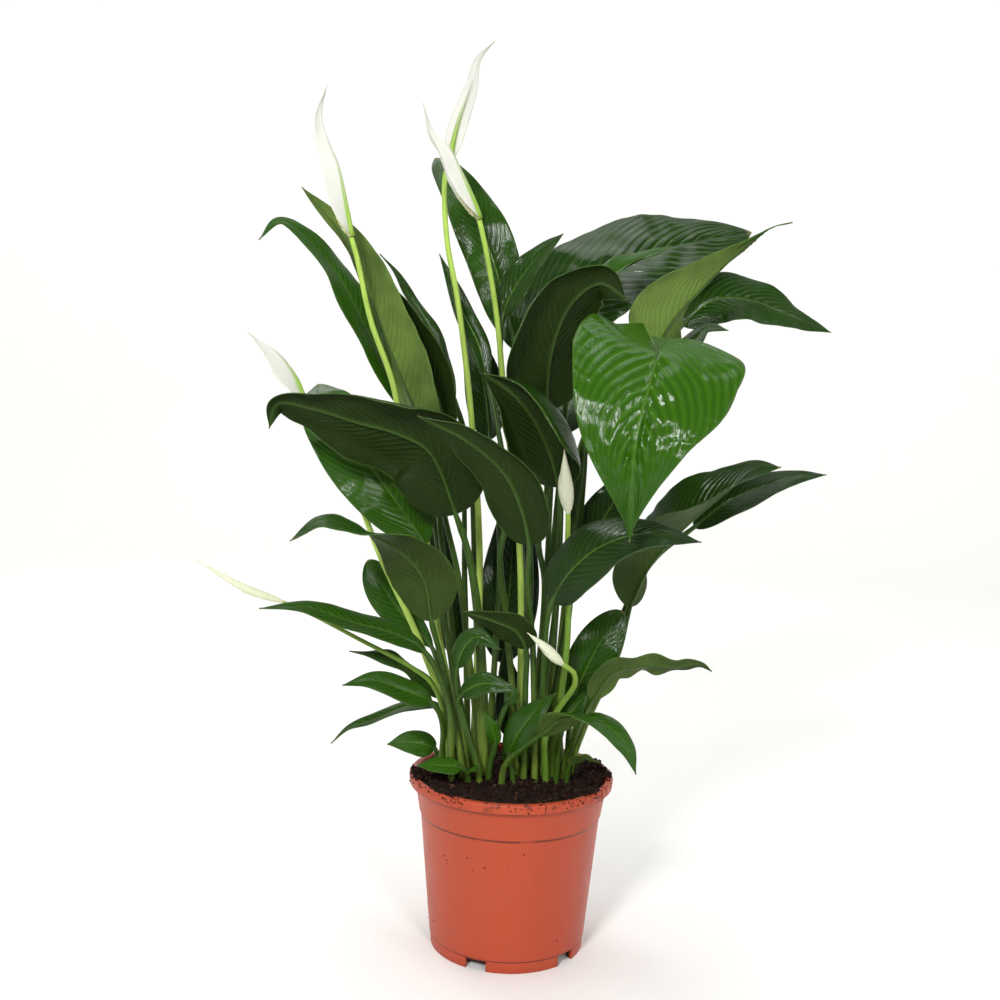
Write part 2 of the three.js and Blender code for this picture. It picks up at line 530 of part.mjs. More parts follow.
// A blade with thickness: two faces split into triangles alike, joined round the edge.
function blade(shoot, way, thickness) {
  const broad = shoot.wide > BROAD;
  const columns = broad ? 4 : 2;
  const rows = broad ? 7 : 5;
  const middle = [];
  for (let i = 0; i <= rows; i++) {
    const row = [];
    for (let j = 0; j <= columns; j++) row.push(bladePoint(shoot, way, i / rows, (2 * j) / columns - 1));
    middle.push(row);
  }
  const normalAt = (i, j) => {
    const along = middle[Math.min(i + 1, rows)][j].clone().sub(middle[Math.max(i - 1, 0)][j]);
    const across = middle[i][Math.min(j + 1, columns)].clone().sub(middle[i][Math.max(j - 1, 0)]);
    return along.cross(across).normalize();
  };
  const positions = [];
  const pointAt = (i, j, side) => side * (rows + 1) * (columns + 1) + i * (columns + 1) + j;
  for (const side of [0, 1]) {
    for (let i = 0; i <= rows; i++) {
      for (let j = 0; j <= columns; j++) {
        const ridge = side === 1 && j === columns / 2 ? RIB * (1 - i / rows) : 0;
        const offset = side === 0 ? thickness / 2 : -thickness / 2 - ridge;
        positions.push(...middle[i][j].clone().addScaledVector(normalAt(i, j), offset));
      }
    }
  }
  const faces = [];
  const quad = (a, b, c, d) => faces.push(a, b, c, a, c, d);
  for (let i = 0; i < rows; i++) {
    for (let j = 0; j < columns; j++) {
      const [a, b, c, d] = [[i, j], [i + 1, j], [i + 1, j + 1], [i, j + 1]];
      quad(pointAt(...a, 0), pointAt(...b, 0), pointAt(...c, 0), pointAt(...d, 0));
      faces.push(pointAt(...a, 1), pointAt(...c, 1), pointAt(...b, 1));
      faces.push(pointAt(...a, 1), pointAt(...d, 1), pointAt(...c, 1));
    }
  }
  const rim = [];
  for (let i = 0; i < rows; i++) rim.push([i, 0]);
  for (let j = 0; j < columns; j++) rim.push([rows, j]);
  for (let i = rows; i > 0; i--) rim.push([i, columns]);
  for (let j = columns; j > 0; j--) rim.push([0, j]);
  rim.forEach((here, k) => {
    const next = rim[(k + 1) % rim.length];
    quad(pointAt(...here, 1), pointAt(...next, 1), pointAt(...next, 0), pointAt(...here, 0));
  });
  const geometry = new THREE.BufferGeometry();
  geometry.setAttribute('position', new THREE.BufferAttribute(new Float32Array(positions), 3));
  geometry.setIndex(faces);
  return geometry;
}

// ---------- pieces ----------
const plant = new THREE.Group();
plant.position.set(...PLACE);
const holes = []; // what each stem takes from the soil

function add(name, manifold, colour, roughness) {
  const material = new THREE.MeshStandardMaterial({ color: colour, roughness, metalness: 0 });
  const mesh = new THREE.Mesh(geometryOf(manifold), material);
  mesh.name = name;
  plant.add(mesh);
}

// A stem's radius narrows from its foot to its neck, and keeps that on under the blade.
function stemRadius(way, shoot) {
  const neck = way.shareAt(way.neck);
  const wide = shoot.foot_radius ?? FOOT_RADIUS;
  const narrow = shoot.neck_radius ?? NECK_RADIUS;
  return (u) => narrow + (wide - narrow) * Math.max(0, 1 - u / neck) ** 0.8;
}

function growLeaf(leaf) {
  const shoots = leaf.twin ? [leaf, { ...leaf, ...leaf.twin }] : [leaf];
  let body = null;
  for (const shoot of shoots) {
    const way = wayOf(shoot);
    const neck = way.shareAt(way.neck);
    const stations = stationsOf(way, [neck + (1 - neck) * STEM_SEAT]);
    const radius = stemRadius(way, shoot);
    const stem = solid(tube(way.curve, stations, radius));
    const grown = stem.add(solid(blade(shoot, way, BLADE)));
    body = body ? body.add(grown) : grown;
    holes.push(solid(tube(way.curve, stations, radius, GAP)));
  }
  add(leaf.name, body, LEAF_COLOUR, 0.4);
}

// A closed flower: the rolled spathe swells round the end of the stalk and runs out to a point.
function growBud(bud, way, radius) {
  const neck = way.shareAt(way.neck);
  const swell = (u) => {
    const t = Math.max(0, (u - neck) / (1 - neck));
    const roll = bud.bud * Math.sin(Math.PI * t ** 0.8) * (1 - 0.4 * t);
    return t === 0 ? radius(u) : Math.max(BUD_TIP, radius(u) * (1 - t) + roll);
  };
  const stations = stationsOf(way, BUD_ROWS.map((t) => neck + (1 - neck) * t));
  add(bud.name, solid(tube(way.curve, stations, swell)), SPATHE_COLOUR, 0.5);
}

// An open flower: the spathe on the stalk's end, and the spadix that stands in its hollow.
function growBloom(flower, way) {
  const start = (3 * GAP) / way.length;
  const seat = { ...way, shareAt: (index) => way.shareAt(index) + (index === way.neck ? start : 0) };
  const from = seat.shareAt(way.neck);
  const spine = new THREE.CatmullRomCurve3([0, 0.15, 0.5, 1].map((k) => {
    const u = from + (flower.spadix * k) / way.length;
    const along = way.curve.getTangentAt(u);
    const lean = vec(flower.up[0]).addScaledVector(along, -vec(flower.up[0]).dot(along)).normalize();
    return way.curve.getPointAt(u).addScaledVector(lean, SPADIX_LEAN * Math.min(1, k * 2.5));
  }));
  const fat = (u) => (u < 0.12 ? NECK_RADIUS : SPADIX_RADIUS - SPADIX_TAPER * u ** 3);
  const spadix = solid(tube(spine, [0, 0.1, 0.2, 0.5, 0.8, 1], fat));
  const spathe = { ...flower, base: SPATHE_BASE, point: SPATHE_POINT };
  const bloom = spadix.add(solid(blade(spathe, seat, SPATHE)));
  add(`${flower.name}_bloom`, bloom, SPATHE_COLOUR, 0.5);
}

function growFlower(flower) {
  const way = wayOf(flower);
  const radius = stemRadius(way, flower);
  const stations = stationsOf(way, []);
  holes.push(solid(tube(way.curve, stations, radius, GAP)));
  if (flower.bud) {
    growBud(flower, way, radius);
    return;
  }
  add(`${flower.name}_stalk`, solid(tube(way.curve, stations, radius)), STALK_COLOUR, 0.5);
  growBloom(flower, way);
}

// Height of the soil's top: a low mound, crumbs, and the lumps piled against the lip left and right.
function soilTop(x, y) {
  const middle = 1 - (Math.hypot(x, y) / LIP_RADIUS) ** 2;
  const crumbs = 0.9 * Math.sin(x * 0.31 + 1) * Math.cos(y * 0.37) + 0.6 * Math.sin(x * 0.77 - y * 0.63);
  const lump = (cx, cy, reach, high) => high * Math.exp(-0.5 * (Math.hypot(x - cx, y - cy) / reach) ** 2);
  return SOIL_EDGE + SOIL_MOUND * middle + crumbs + lump(70, 2, 6, 13) + lump(-66, -12, 10, 5);
}

function wallRadius(z) {
  return BASE_RADIUS + ((BAND_RADIUS - BASE_RADIUS) * (z - FLOOR_HEIGHT)) / (STEP_HEIGHT - FLOOR_HEIGHT);
}

function makePot() {
  const under = STEP_HEIGHT - 1.5;
  const lipFoot = POT_HEIGHT - LIP_DEPTH;
  const top = FLOOR_HEIGHT + FLOOR_THICKNESS;
  const band = LIP_RADIUS - LIP_WIDTH;
  const profile = [
    // from the middle of the floor's underside out over the foot ring and up the wall
    [0, FLOOR_HEIGHT], [BASE_RADIUS - FOOT_RING - 1.5, FLOOR_HEIGHT],
    [BASE_RADIUS - FOOT_RING, FLOOR_HEIGHT - 1.5], [BASE_RADIUS - FOOT_RING, 0],
    [BASE_RADIUS - 1.2, 0], [BASE_RADIUS - 0.6, FLOOR_HEIGHT - 0.6], [BASE_RADIUS, FLOOR_HEIGHT],
    [wallRadius(under) - BEND, under], [BAND_RADIUS, STEP_HEIGHT],
    // round the lip
    [band, lipFoot - 0.8], [LIP_RADIUS - 0.8, lipFoot], [LIP_RADIUS, lipFoot + 1.6],
    [LIP_RADIUS, POT_HEIGHT - 2.4], [LIP_RADIUS - 1.2, POT_HEIGHT - 0.3], [band, POT_HEIGHT],
    [band - 1.2, POT_HEIGHT - 1.6], [band - WALL - 0.6, lipFoot - 1],
    // down inside to the floor's top
    [BAND_RADIUS - WALL, STEP_HEIGHT], [wallRadius(under) - BEND - WALL, under - 1],
    [BASE_RADIUS - WALL, top + 1.5], [BASE_RADIUS - WALL - 1.5, top], [0, top],
  ].map(([r, z]) => new THREE.Vector2(r, z));
  const turned = new THREE.LatheGeometry(profile, POT_SIDES);
  turned.rotateX(Math.PI / 2); // the lathe's axis becomes Z
  let pot = solid(turned);
  for (let i = 0; i < FEET; i++) {
    const turn = THREE.MathUtils.degToRad(FOOT_TURN + (360 / FEET) * i);
    const cut = new THREE.BoxGeometry(FOOT_GAP, 3 * FOOT_RING, FLOOR_HEIGHT);
    cut.translate(0, -BASE_RADIUS + 2, FLOOR_HEIGHT / 2 - 1.2);
    const drain = new THREE.CylinderGeometry(DRAIN_RADIUS, DRAIN_RADIUS, 4 * FLOOR_THICKNESS, 14);
    drain.rotateX(Math.PI / 2);
    drain.translate(0, -DRAIN_CIRCLE, FLOOR_HEIGHT + FLOOR_THICKNESS / 2);
    for (const tool of [cut, drain]) {
      tool.rotateZ(turn);
      pot = pot.subtract(solid(tool));
    }
  }
  return pot;
}

// The soil fills the pot with GAP all round, less the hole that each stem stands in.
function makeSoil() {
  const inner = (z) => wallRadius(z) - WALL - BEND - GAP;
  const bottom = FLOOR_HEIGHT + FLOOR_THICKNESS + GAP;
  const rim = inner(SOIL_EDGE - 3) - 0.6;
  const profile = [
    [0, bottom], [BASE_RADIUS - WALL - 2.2, bottom], [inner(bottom + 3), bottom + 3],
    [inner(STEP_HEIGHT - 4), STEP_HEIGHT - 4], [rim, SOIL_EDGE - 3],
    ...SOIL_RINGS.map((share) => [rim * share, SOIL_EDGE]),
  ].map(([r, z]) => new THREE.Vector2(r, z));
  const heap = new THREE.LatheGeometry(profile, SOIL_SIDES);
  heap.rotateX(Math.PI / 2);
  const position = heap.attributes.position;
  for (let i = 0; i < position.count; i++) {
    if (position.getZ(i) < SOIL_EDGE - 1) continue;
    position.setZ(i, soilTop(position.getX(i), position.getY(i)));
  }
  let soil = solid(heap);
  for (const hole of holes) soil = soil.subtract(hole);
  return soil;
}

LEAVES.forEach(growLeaf);
FLOWERS.forEach(growFlower);
add('soil', makeSoil(), SOIL_COLOUR, 0.95);
add('pot', makePot(), POT_COLOUR, 0.6);

export default plant;
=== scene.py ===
"""The looks of a peace lily in its nursery pot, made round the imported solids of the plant.

Each leaf, flower, the soil and the pot is modelled again more finely along the same ways as its solid,
and replaces it. Lengths in the lists and in the named sizes are millimetres, in the frame of the pot's
axis; a piece's mesh is in metres, in the row's frame.
"""
import bisect
import math
import random

import bmesh
import bpy
from mathutils import Matrix, Vector, noise


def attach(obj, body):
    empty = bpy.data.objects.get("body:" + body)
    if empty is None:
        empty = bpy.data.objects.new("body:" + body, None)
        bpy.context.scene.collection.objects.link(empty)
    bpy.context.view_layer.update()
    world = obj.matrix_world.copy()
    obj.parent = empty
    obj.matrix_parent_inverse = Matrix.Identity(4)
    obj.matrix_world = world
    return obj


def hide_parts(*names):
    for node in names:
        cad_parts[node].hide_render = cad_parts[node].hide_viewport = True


bl_info = {
    "name": "Potted peace lily",
    "version": (1, 0, 0),
    "blender": (4, 5, 0),
    "location": "View3D > Sidebar > Lily",
    "description": "Grows the leaves, flowers, soil and pot of a peace lily",
    "category": "Object",
}

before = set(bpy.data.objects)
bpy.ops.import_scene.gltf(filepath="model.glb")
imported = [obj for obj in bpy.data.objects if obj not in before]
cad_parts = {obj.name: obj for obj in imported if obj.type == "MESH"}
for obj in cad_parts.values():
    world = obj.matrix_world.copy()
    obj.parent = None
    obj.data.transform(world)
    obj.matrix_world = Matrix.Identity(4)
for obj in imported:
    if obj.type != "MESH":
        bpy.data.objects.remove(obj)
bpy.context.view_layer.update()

# ---------- sizes, in millimetres ----------
MM = 0.001  # a millimetre in metres
PLACE = Vector((-15, -11, 0))  # the pot's axis, seen from the row's origin

LIP_RADIUS = 85.6
LIP_WIDTH = 5.1  # how far the lip stands out from the band
LIP_DEPTH = 8.5
LIP_ROLL = 2.3  # radius of the lip's rounded upper edge
POT_HEIGHT = 147
STEP_HEIGHT = 115  # where the upper band begins
BAND_RADIUS = 76.8
BASE_RADIUS = 65.8
FLOOR_HEIGHT = 10
FLOOR_THICKNESS = 2
WALL = 1.7
BEND = 1.1  # how far the wall stands in under the band
FEET = 5
FOOT_GAP = 18
FOOT_RING = 4
FOOT_TURN = -23  # the first gap between feet and its drain hole, in degrees to the right of the front
FOOT_ROOT = 8.8  # up to this height the foot ring is cut into feet
DRAIN_RADIUS = 6
DRAIN_CIRCLE = 52
POT_STEPS = 144  # faces round the pot
DRAIN_STEPS = 32
FOOT_STEPS = 24

SOIL_EDGE = 140.5
SOIL_MOUND = 6.5
SOIL_GAP = 0.35  # between the soil and the pot's floor
SOIL_RINGS = 34
SOIL_STEPS = 150
STEM_BURIED = 100  # height of every stem's lower end
STEM_OUT = 152  # up to here it stands upright

# the blades
EDGE = 0.5  # half width where a blade's outline comes to a point
BASE = 0.6  # how blunt a common blade's base is
POINT = 1.1  # how drawn out its tip is
ARCH = 0.12  # how far a blade's edges hang below its middle, against half its width
WAVE_SHIFT = 2.2  # radians by which the left edge's waves run ahead of the right edge's
CORNER_AT = 1 / 7  # how far from the neck to the tip a blade's drawn-out corner stands
CORNER_SPAN = 0.09  # and how much of that way it takes up on each side
CORNER_OUT = 0.3  # how far it is drawn sideways, against how far back
ROLL_FROM = 0.55  # a rolled margin begins at this share of the half width
ROLL_CURVE = 5  # and curves down this steeply
ROW_STEP = 1.5  # between the rows of a blade's mesh
COLUMN_STEP = 1.6  # and between its columns
CROWDING = 1.25  # above 1, the columns stand closer at the midrib
COMMON_TONE = 0.4

# the quilting between a blade's side veins
VEIN_SWEEP = 1.05  # how far a side vein runs towards the tip on its way out, against the half width
VEIN_BEND = 0.45  # how much more it does so near the edge
VEIN_CURL = 0.04  # and more on every blade, however narrow, as a share of its length
VEINS_MORE = 4  # veins near the tip and the base, where they stand closer
QUILT_LEVEL = 0.4  # how much of a quilt lies below the blade's middle surface
PUCKER_GRAIN = 0.06  # cycles of uneven height in a millimetre
PUCKER_DEPTH = 0.03  # against half the blade's width
CREASE_DEPTH = 5.5
CREASE_ACROSS = 0.11  # creases in a millimetre across the blade
CREASE_ALONG = 0.034  # and along it
MIDRIB_DEPTH = 0.5  # of the groove over the midrib
MIDRIB_WIDTH = 1.4
CRIMP_GRAIN = 0.075  # crimps in a millimetre along the edge
CRIMP_DEPTH = 0.125
SEED_STEP = 0.37  # makes no two blades alike

# the stems
FOOT_RADIUS = 3.2
NECK_RADIUS = 2.0
TIP_RADIUS = 0.35
STEM_SIDES = 12
STEM_STEP = 7  # between a stem's rings
MIDRIB_STEP = 5
MIDRIB_END = 0.9  # the midrib stands out of the blade up to this share of its length
TAPER = 0.8  # how a stem narrows from its sheath to its neck
JOINT = 0.22  # how much thicker a stem is at the joint below the neck
JOINT_AT = 0.955
JOINT_SPAN = 0.022
CHANNEL = 0.1  # depth of the channel along a stem's upper side, against its radius

# the flowers
BLOOM_GAP = 1.05  # between a stalk's end and its bloom
SPATHE_BASE = 0.5
SPATHE_POINT = 1.2
SPATHE_QUILTING = 0.006
KEEL_STEPS = 24
SPADIX_RADIUS = 2.9
SPADIX_TAPER = 1.2
SPADIX_LEAN = 7
SPADIX_RINGS = 110
SPADIX_SIDES = 44
FLORET_PITCH = 4.2
FLORET_HEIGHT = 0.7
BUD_SIDES = 36
BUD_STEP = 1.2

NUDGE = 1e-4  # a share of a way that is as good as nothing
WELD = 1e-4  # points closer than this are one

# loose soil
HUSK_EVERY = 29  # every so many crumbs one is a husk
HEAPS = (  # crumbs against the lip and on it: the heap's middle, its reach, its height and their number
    (75, 0, 5, 6, 200),
    (-74, -12, 8, 3, 150),
    (-56, -56, 6, 1, 60),
    (64, -48, 6, 1, 60),
)
FOOT_CRUMBS = 14  # round the foot of each stem, and on the root end
ROOT_END = 66  # degrees to the right of the front
HANGING_ROOTS = ((17, 8), (-31, 4), (58, 9), (64, 5), (150, 8), (215, 7))  # degrees as above, and length

# the studio
CAMERA_PLACE = Vector((-16.4, -1001, 469))  # seen from the pot's axis
CAMERA_DOWN = 5.25  # degrees by which it looks down
CAMERA_ROLL = 1.74  # and by which it leans
SENSOR = 36
FLOOR_REACH = 2300  # radius of the flat floor
COVE = 900  # and of the curve up into the backdrop
BACKDROP_HEIGHT = 5000
BACKDROP_STEPS = 72
WORLD_LIGHT = 0.15
PLANT_MIDDLE = (0, 0, 0.4)
SOFTBOXES = {  # in metres: place, target and size; and power as a share of the key setting
    "key_softbox": ((-0.75, -2.1, 1.6), PLANT_MIDDLE, 0.4, 0.72),
    "fill_softbox": ((0.75, -2.1, 1.35), PLANT_MIDDLE, 0.38, 0.28),
    "top_softbox": ((-0.2, -0.2, 2.3), PLANT_MIDDLE, 0.9, 0.17),
    "right_softbox": ((1.8, -1.4, 1.2), PLANT_MIDDLE, 0.5, 0.1),
    "back_softbox": ((-1.2, 1.5, 1.8), PLANT_MIDDLE, 0.9, 0.1),
    "backdrop_softbox": ((0, 0.9, 2.9), (0, 3.1, 1.3), 2.2, 0.74),
}

# ---------- the leaves ----------
# foot: place in the soil. stem: way up to the neck, its last point. blade: way of the midrib to the tip.
# wide: half the blade's width. up: where its upper face looks, from the neck to the tip.
# fold: degrees by which its two halves are raised, the right one first, as seen towards the tip.
# base, point: how blunt the base is and how drawn out the tip. lobes: how far the base runs back, right
# and left. corner: how far the left lobe is drawn out into a corner.
# wave, waves: height and number of the edge's waves. foot_radius, neck_radius: of a stem that is thicker
# in its sheath or thinner at its neck than a common one.
# spacing, quilt: how far apart its side veins are and how high it bulges between them, against a common
# leaf. pucker: how deeply its middle is creased. sunk: how far its face lies back between its edges.
# roll: how far its margins roll under. tone: from 0, darkest, to 1, brightest; partly the leaf's age and
# partly painted light, low on leaves in shade and high on leaves lit from behind.
# twin: a second blade on a stem of its own from the same foot.
LEAVES = [
    # the right clump, from the front leaf back
    dict(
        name="leaf_heart", foot=(38, -6), wide=63, fold=(8, 8), base=0.4, point=1.5, lobes=(48, 22),
        corner=14, wave=3, waves=1.5, spacing=1.6, pucker=1, sunk=1.6, tone=1,
        stem=[(40, -7, 213), (43, -8, 298), (46, -9, 364), (52, -18, 430), (68, -42, 474),
            (90, -72, 503), (97, -88, 501)],
        blade=[(90, -112, 475), (80, -128, 435), (79, -122, 360)],
        up=[(0, -0.9, 0.5), (0, -1, 0.1)],
    ),
    dict(
        name="leaf_right_low", foot=(42, -14), wide=17, fold=(12, 12), wave=2, waves=4, tone=0.7,
        stem=[(51, -32, 189), (63, -42, 221)],
        blade=[(76, -48, 244), (99, -52, 253), (127, -52, 253), (147, -50, 255), (157, -48, 249)],
        up=[(-0.1, 0.65, 0.75), (-0.1, 0.65, 0.75)],
    ),
    dict(
        name="leaf_right_long", foot=(51, 2), wide=42, fold=(62, 26), wave=3, waves=3, tone=0.6,
        stem=[(60, 4, 183), (88, 4, 253), (95, 2, 290)],
        blade=[(109, 0, 326), (133, -2, 355), (170, 2, 388), (197, 6, 408), (216, 4, 411)],
        up=[(-0.6, 0.6, 0.5), (-0.4, -0.5, 0.75), (-0.3, -0.8, 0.5)],
    ),
    dict(
        name="leaf_right_far", foot=(48, 11), wide=16, fold=(10, 10), wave=1.5, waves=2, tone=0.25,
        stem=[(54, 16, 180), (83, 24, 246), (96, 32, 288), (119, 37, 327), (151, 36, 355)],
        blade=[(176, 33, 377), (208, 36, 392), (236, 37, 401), (262, 34, 404)],
        up=[(-0.2, -0.75, 0.6), (-0.2, -0.75, 0.6)],
    ),
    dict(
        name="leaf_right_glossy", foot=(25, -14), wide=23, fold=(8, 8), base=0.45, wave=2, waves=2,
        tone=0.2,
        stem=[(23, -38, 238), (24, -54, 288), (27, -60, 304)],
        blade=[(40, -72, 330), (63, -82, 352), (96, -88, 363), (138, -84, 357)],
        up=[(-0.3, -0.75, 0.5), (0, -0.8, 0.6)],
    ),
    dict(
        name="leaf_right_dark", foot=(24, 2), wide=20, fold=(10, 10), wave=2, waves=2, tone=0.1,
        stem=[(35, -13, 230), (42, -18, 290), (49, -20, 325)],
        blade=[(66, -24, 363), (85, -28, 396), (101, -32, 420)],
        up=[(-0.4, -0.85, 0.3), (-0.4, -0.85, 0.3)],
    ),
    dict(
        name="leaf_right_broad", foot=(47, -6), wide=19, fold=(6, 6), point=0.55, wave=1.5, waves=2,
        tone=0.5,
        stem=[(47, -8, 181), (49, -14, 208)],
        blade=[(57, -19, 237), (69, -20, 263), (87, -16, 290)],
        up=[(-0.1, -0.95, 0.3), (-0.1, -0.95, 0.3)],
    ),
    dict(
        name="leaf_right_arch", foot=(-8, -37), wide=16, fold=(5, 5), wave=1.5, waves=2, tone=0.75,
        stem=[(-6, -38, 164), (9, -50, 183), (21, -60, 196)],
        blade=[(40, -74, 216), (60, -84, 218), (75, -90, 211), (87, -94, 198), (94, -96, 178)],
        up=[(0, 0.75, 0.65), (0.3, -0.9, 0.3)],
    ),
    dict(
        name="leaf_right_young", foot=(1, -30), wide=14, fold=(10, 10), wave=1, waves=2, tone=0.6,
        stem=[(-3, -30, 169)],
        blade=[(4, -38, 190), (16, -44, 209), (33, -46, 227)],
        up=[(-0.5, -0.8, 0.3), (-0.5, -0.8, 0.3)],
    ),
    dict(
        name="leaf_right_small", foot=(37, -22), wide=9, fold=(8, 8), wave=1, waves=2, tone=0.5,
        stem=[(41, -34, 198)],
        blade=[(50, -40, 215), (62, -44, 230)],
        up=[(-0.3, -0.9, 0.3), (-0.3, -0.9, 0.3)],
    ),
    dict(
        name="leaf_right_soil", foot=(46, -22), wide=9, fold=(8, 8), wave=1, waves=2, tone=0.9,
        stem=[(48, -23, 161)],
        blade=[(57, -27, 169), (72, -31, 166)],
        up=[(0, 0.5, 0.85), (0, 0.5, 0.85)],
    ),
    dict(
        name="leaf_rolled", foot=(29, -6), wide=9, fold=(58, 58), wave=0, waves=1, tone=0.5,
        stem=[(41, -28, 267), (42, -30, 333)],
        blade=[(47, -34, 382), (49, -36, 414), (50, -38, 442)],
        up=[(0, 0.9, 0), (0, 0.9, 0)],
    ),
    dict(
        name="leaf_front_low", foot=(10, -22), wide=15, fold=(8, 8), wave=1.5, waves=2, tone=0.25,
        stem=[(9, -33, 226), (8, -46, 262)],
        blade=[(0, -55, 278), (-16, -60, 286), (-43, -62, 294)],
        up=[(0, 0.8, 0.55), (0, 0.8, 0.55)],
    ),
    dict(
        name="leaf_front_dark", foot=(19, -22), wide=24, fold=(6, 6), base=0.5, wave=2, waves=2.5,
        roll=0.2, tone=0.15,
        stem=[(13, -42, 269), (7, -60, 317), (7, -77, 350)],
        blade=[(0, -88, 379), (-14, -96, 406), (-43, -104, 430), (-79, -106, 447)],
        up=[(0.1, 0.85, 0.5), (0.1, 0.85, 0.5)],
    ),
    dict(
        name="leaf_centre_curled", foot=(20, -6), wide=36, fold=(16, 16), wave=3, waves=1.5,
        roll=0.8, tone=0.3,
        stem=[(31, -42, 302), (31, -45, 343), (30, -50, 393)],
        blade=[(15, -60, 433), (-5, -66, 461), (-32, -70, 480)],
        up=[(0.3, 0.9, 0.3), (0.3, 0.9, 0.3)],
    ),
    dict(
        name="leaf_centre_big", foot=(15, 2), wide=45, fold=(6, 30), wave=3, waves=2, roll=0.3,
        tone=0.3,
        stem=[(22, -20, 313), (16, -22, 345), (21, -25, 382), (18, -30, 453)],
        blade=[(21, -38, 501), (35, -42, 537), (56, -48, 552), (77, -55, 540)],
        up=[(-0.3, 0.9, 0.3), (-0.3, 0.9, 0.3)],
    ),
    dict(
        name="leaf_light_right", foot=(33, 2), wide=44, fold=(10, 55), base=0.5, point=2.6, wave=2,
        waves=2, tone=0.9,
        stem=[(36, 8, 217), (41, 8, 295), (45, 8, 362), (51, 6, 429), (79, 0, 475), (104, -5, 502)],
        blade=[(120, -8, 529), (140, -8, 553), (169, -5, 583), (196, 0, 605), (215, 4, 611)],
        up=[(-0.4, 0.8, 0.45), (-0.4, 0.8, 0.45)],
    ),
    dict(
        name="leaf_back_tip", foot=(42, 2), wide=14, fold=(10, 10), wave=1, waves=2, tone=0.4,
        stem=[(38, 18, 205), (44, 20, 283), (48, 24, 360), (56, 25, 428), (86, 25, 463),
            (115, 28, 484)],
        blade=[(140, 28, 510), (153, 26, 525), (170, 20, 523)],
        up=[(-0.5, -0.5, 0.7), (-0.3, -0.5, 0.8)],
    ),
    dict(
        name="leaf_light_narrow", foot=(20, 10), wide=16, fold=(25, 25), wave=1.5, waves=2,
        tone=0.7,
        stem=[(33, 15, 394), (40, 12, 503), (49, 8, 540)],
        blade=[(59, 5, 556), (85, 0, 574), (116, -5, 588)],
        up=[(0, -0.45, 0.9), (0, -0.45, 0.9)],
    ),
    dict(
        name="leaf_top_striped", foot=(2, 10), wide=15, fold=(15, 15), wave=1.5, waves=2, tone=0.4,
        stem=[(11, 25, 324), (-16, 22, 460), (-19, 20, 528)],
        blade=[(-7, 17, 557), (10, 12, 580), (29, 8, 597)],
        up=[(-0.5, -0.8, 0.3), (-0.5, -0.8, 0.3)],
    ),
    dict(
        name="leaf_top_right", foot=(29, 10), wide=50, fold=(6, 6), base=0.5, point=0.8, wave=3,
        waves=3, spacing=1.7, quilt=0.5, tone=0.3,
        stem=[(35, 40, 392), (22, 45, 460), (3, 48, 507)],
        blade=[(34, 52, 548), (82, 56, 580), (141, 66, 600), (197, 80, 612)],
        up=[(-0.3, -0.8, 0.5), (-0.3, -0.8, 0.5)],
    ),
    dict(
        name="leaf_droop_right", foot=(38, 10), wide=26, fold=(12, 12), wave=2, waves=3, tone=0.35,
        stem=[(41, 30, 211), (47, 36, 289), (51, 42, 358), (60, 50, 427), (102, 58, 480),
            (137, 62, 528)],
        blade=[(166, 70, 552), (198, 76, 553), (234, 78, 540), (271, 78, 527)],
        up=[(0.1, -0.85, 0.5), (0.2, -0.8, 0.6)],
    ),
    dict(
        name="leaf_back_right", foot=(20, 18), wide=31, fold=(10, 10), wave=3, waves=2.5, tone=0.3,
        stem=[(26, 45, 310), (32, 60, 430)],
        blade=[(48, 90, 462), (64, 120, 450), (78, 150, 410)],
        up=[(0.1, 0.1, 1), (0.4, 0.6, 0.6)],
    ),
    dict(
        name="leaf_top_centre", foot=(11, 18), wide=23, fold=(8, 8), point=0.7, wave=3, waves=2.5,
        tone=0.55,
        stem=[(4, 35, 322), (-6, 38, 440), (-7, 40, 502)],
        blade=[(-19, 42, 548), (-35, 46, 594), (-56, 55, 633), (-75, 68, 659), (-82, 82, 668)],
        up=[(0.1, -0.95, 0.2), (-0.2, -0.7, 0.7)],
    ),
    # the left clump, from the front leaf back
    dict(
        name="leaf_left_big", foot=(-24, -16), wide=42, fold=(8, 8), base=0.5, wave=3, waves=3,
        foot_radius=6.5, roll=0.25, tone=0.25,
        stem=[(-26, -22, 213), (-31, -34, 282), (-40, -42, 336), (-51, -50, 369)],
        blade=[(-72, -58, 418), (-97, -64, 432), (-128, -72, 440), (-159, -80, 449),
            (-186, -86, 452), (-191, -92, 434)],
        up=[(-0.2, 0.75, 0.6), (-0.2, 0.75, 0.6)],
    ),
    dict(
        name="leaf_left_hook", foot=(-41, -22), wide=28, fold=(6, 6), wave=1.5, waves=2, tone=0.56,
        stem=[(-49, -22, 198), (-59, -37, 247), (-68, -54, 284)],
        blade=[(-74, -66, 320), (-94, -72, 343), (-131, -78, 361), (-152, -80, 365), (-176, -82, 348)],
        up=[(0, 0.9, 0.3), (0, -0.5, 0.85)],
    ),
    dict(
        name="leaf_left_glossy", foot=(-38, -14), wide=31, fold=(8, 8), point=0.7, wave=3, waves=3,
        tone=0.75,
        stem=[(-56, -18, 262), (-65, -26, 304), (-76, -30, 341)],
        blade=[(-101, -30, 377), (-138, -26, 423), (-164, -12, 455), (-171, 14, 468)],
        up=[(-0.2, -0.9, 0.35), (-0.3, -0.5, 0.8)],
    ),
    dict(
        name="leaf_left_slim", foot=(-50, -24), wide=12, fold=(12, 12), wave=1, waves=2, tone=0.6,
        stem=[(-53, -38, 212), (-72, -55, 259)],
        blade=[(-95, -66, 275), (-129, -80, 287), (-165, -94, 300), (-195, -102, 299)],
        up=[(-0.1, -0.6, 0.8), (-0.1, -0.6, 0.8)],
    ),
    dict(
        name="leaf_left_oval", foot=(-57, 2), wide=16, fold=(6, 6), base=0.9, point=0.6, wave=1,
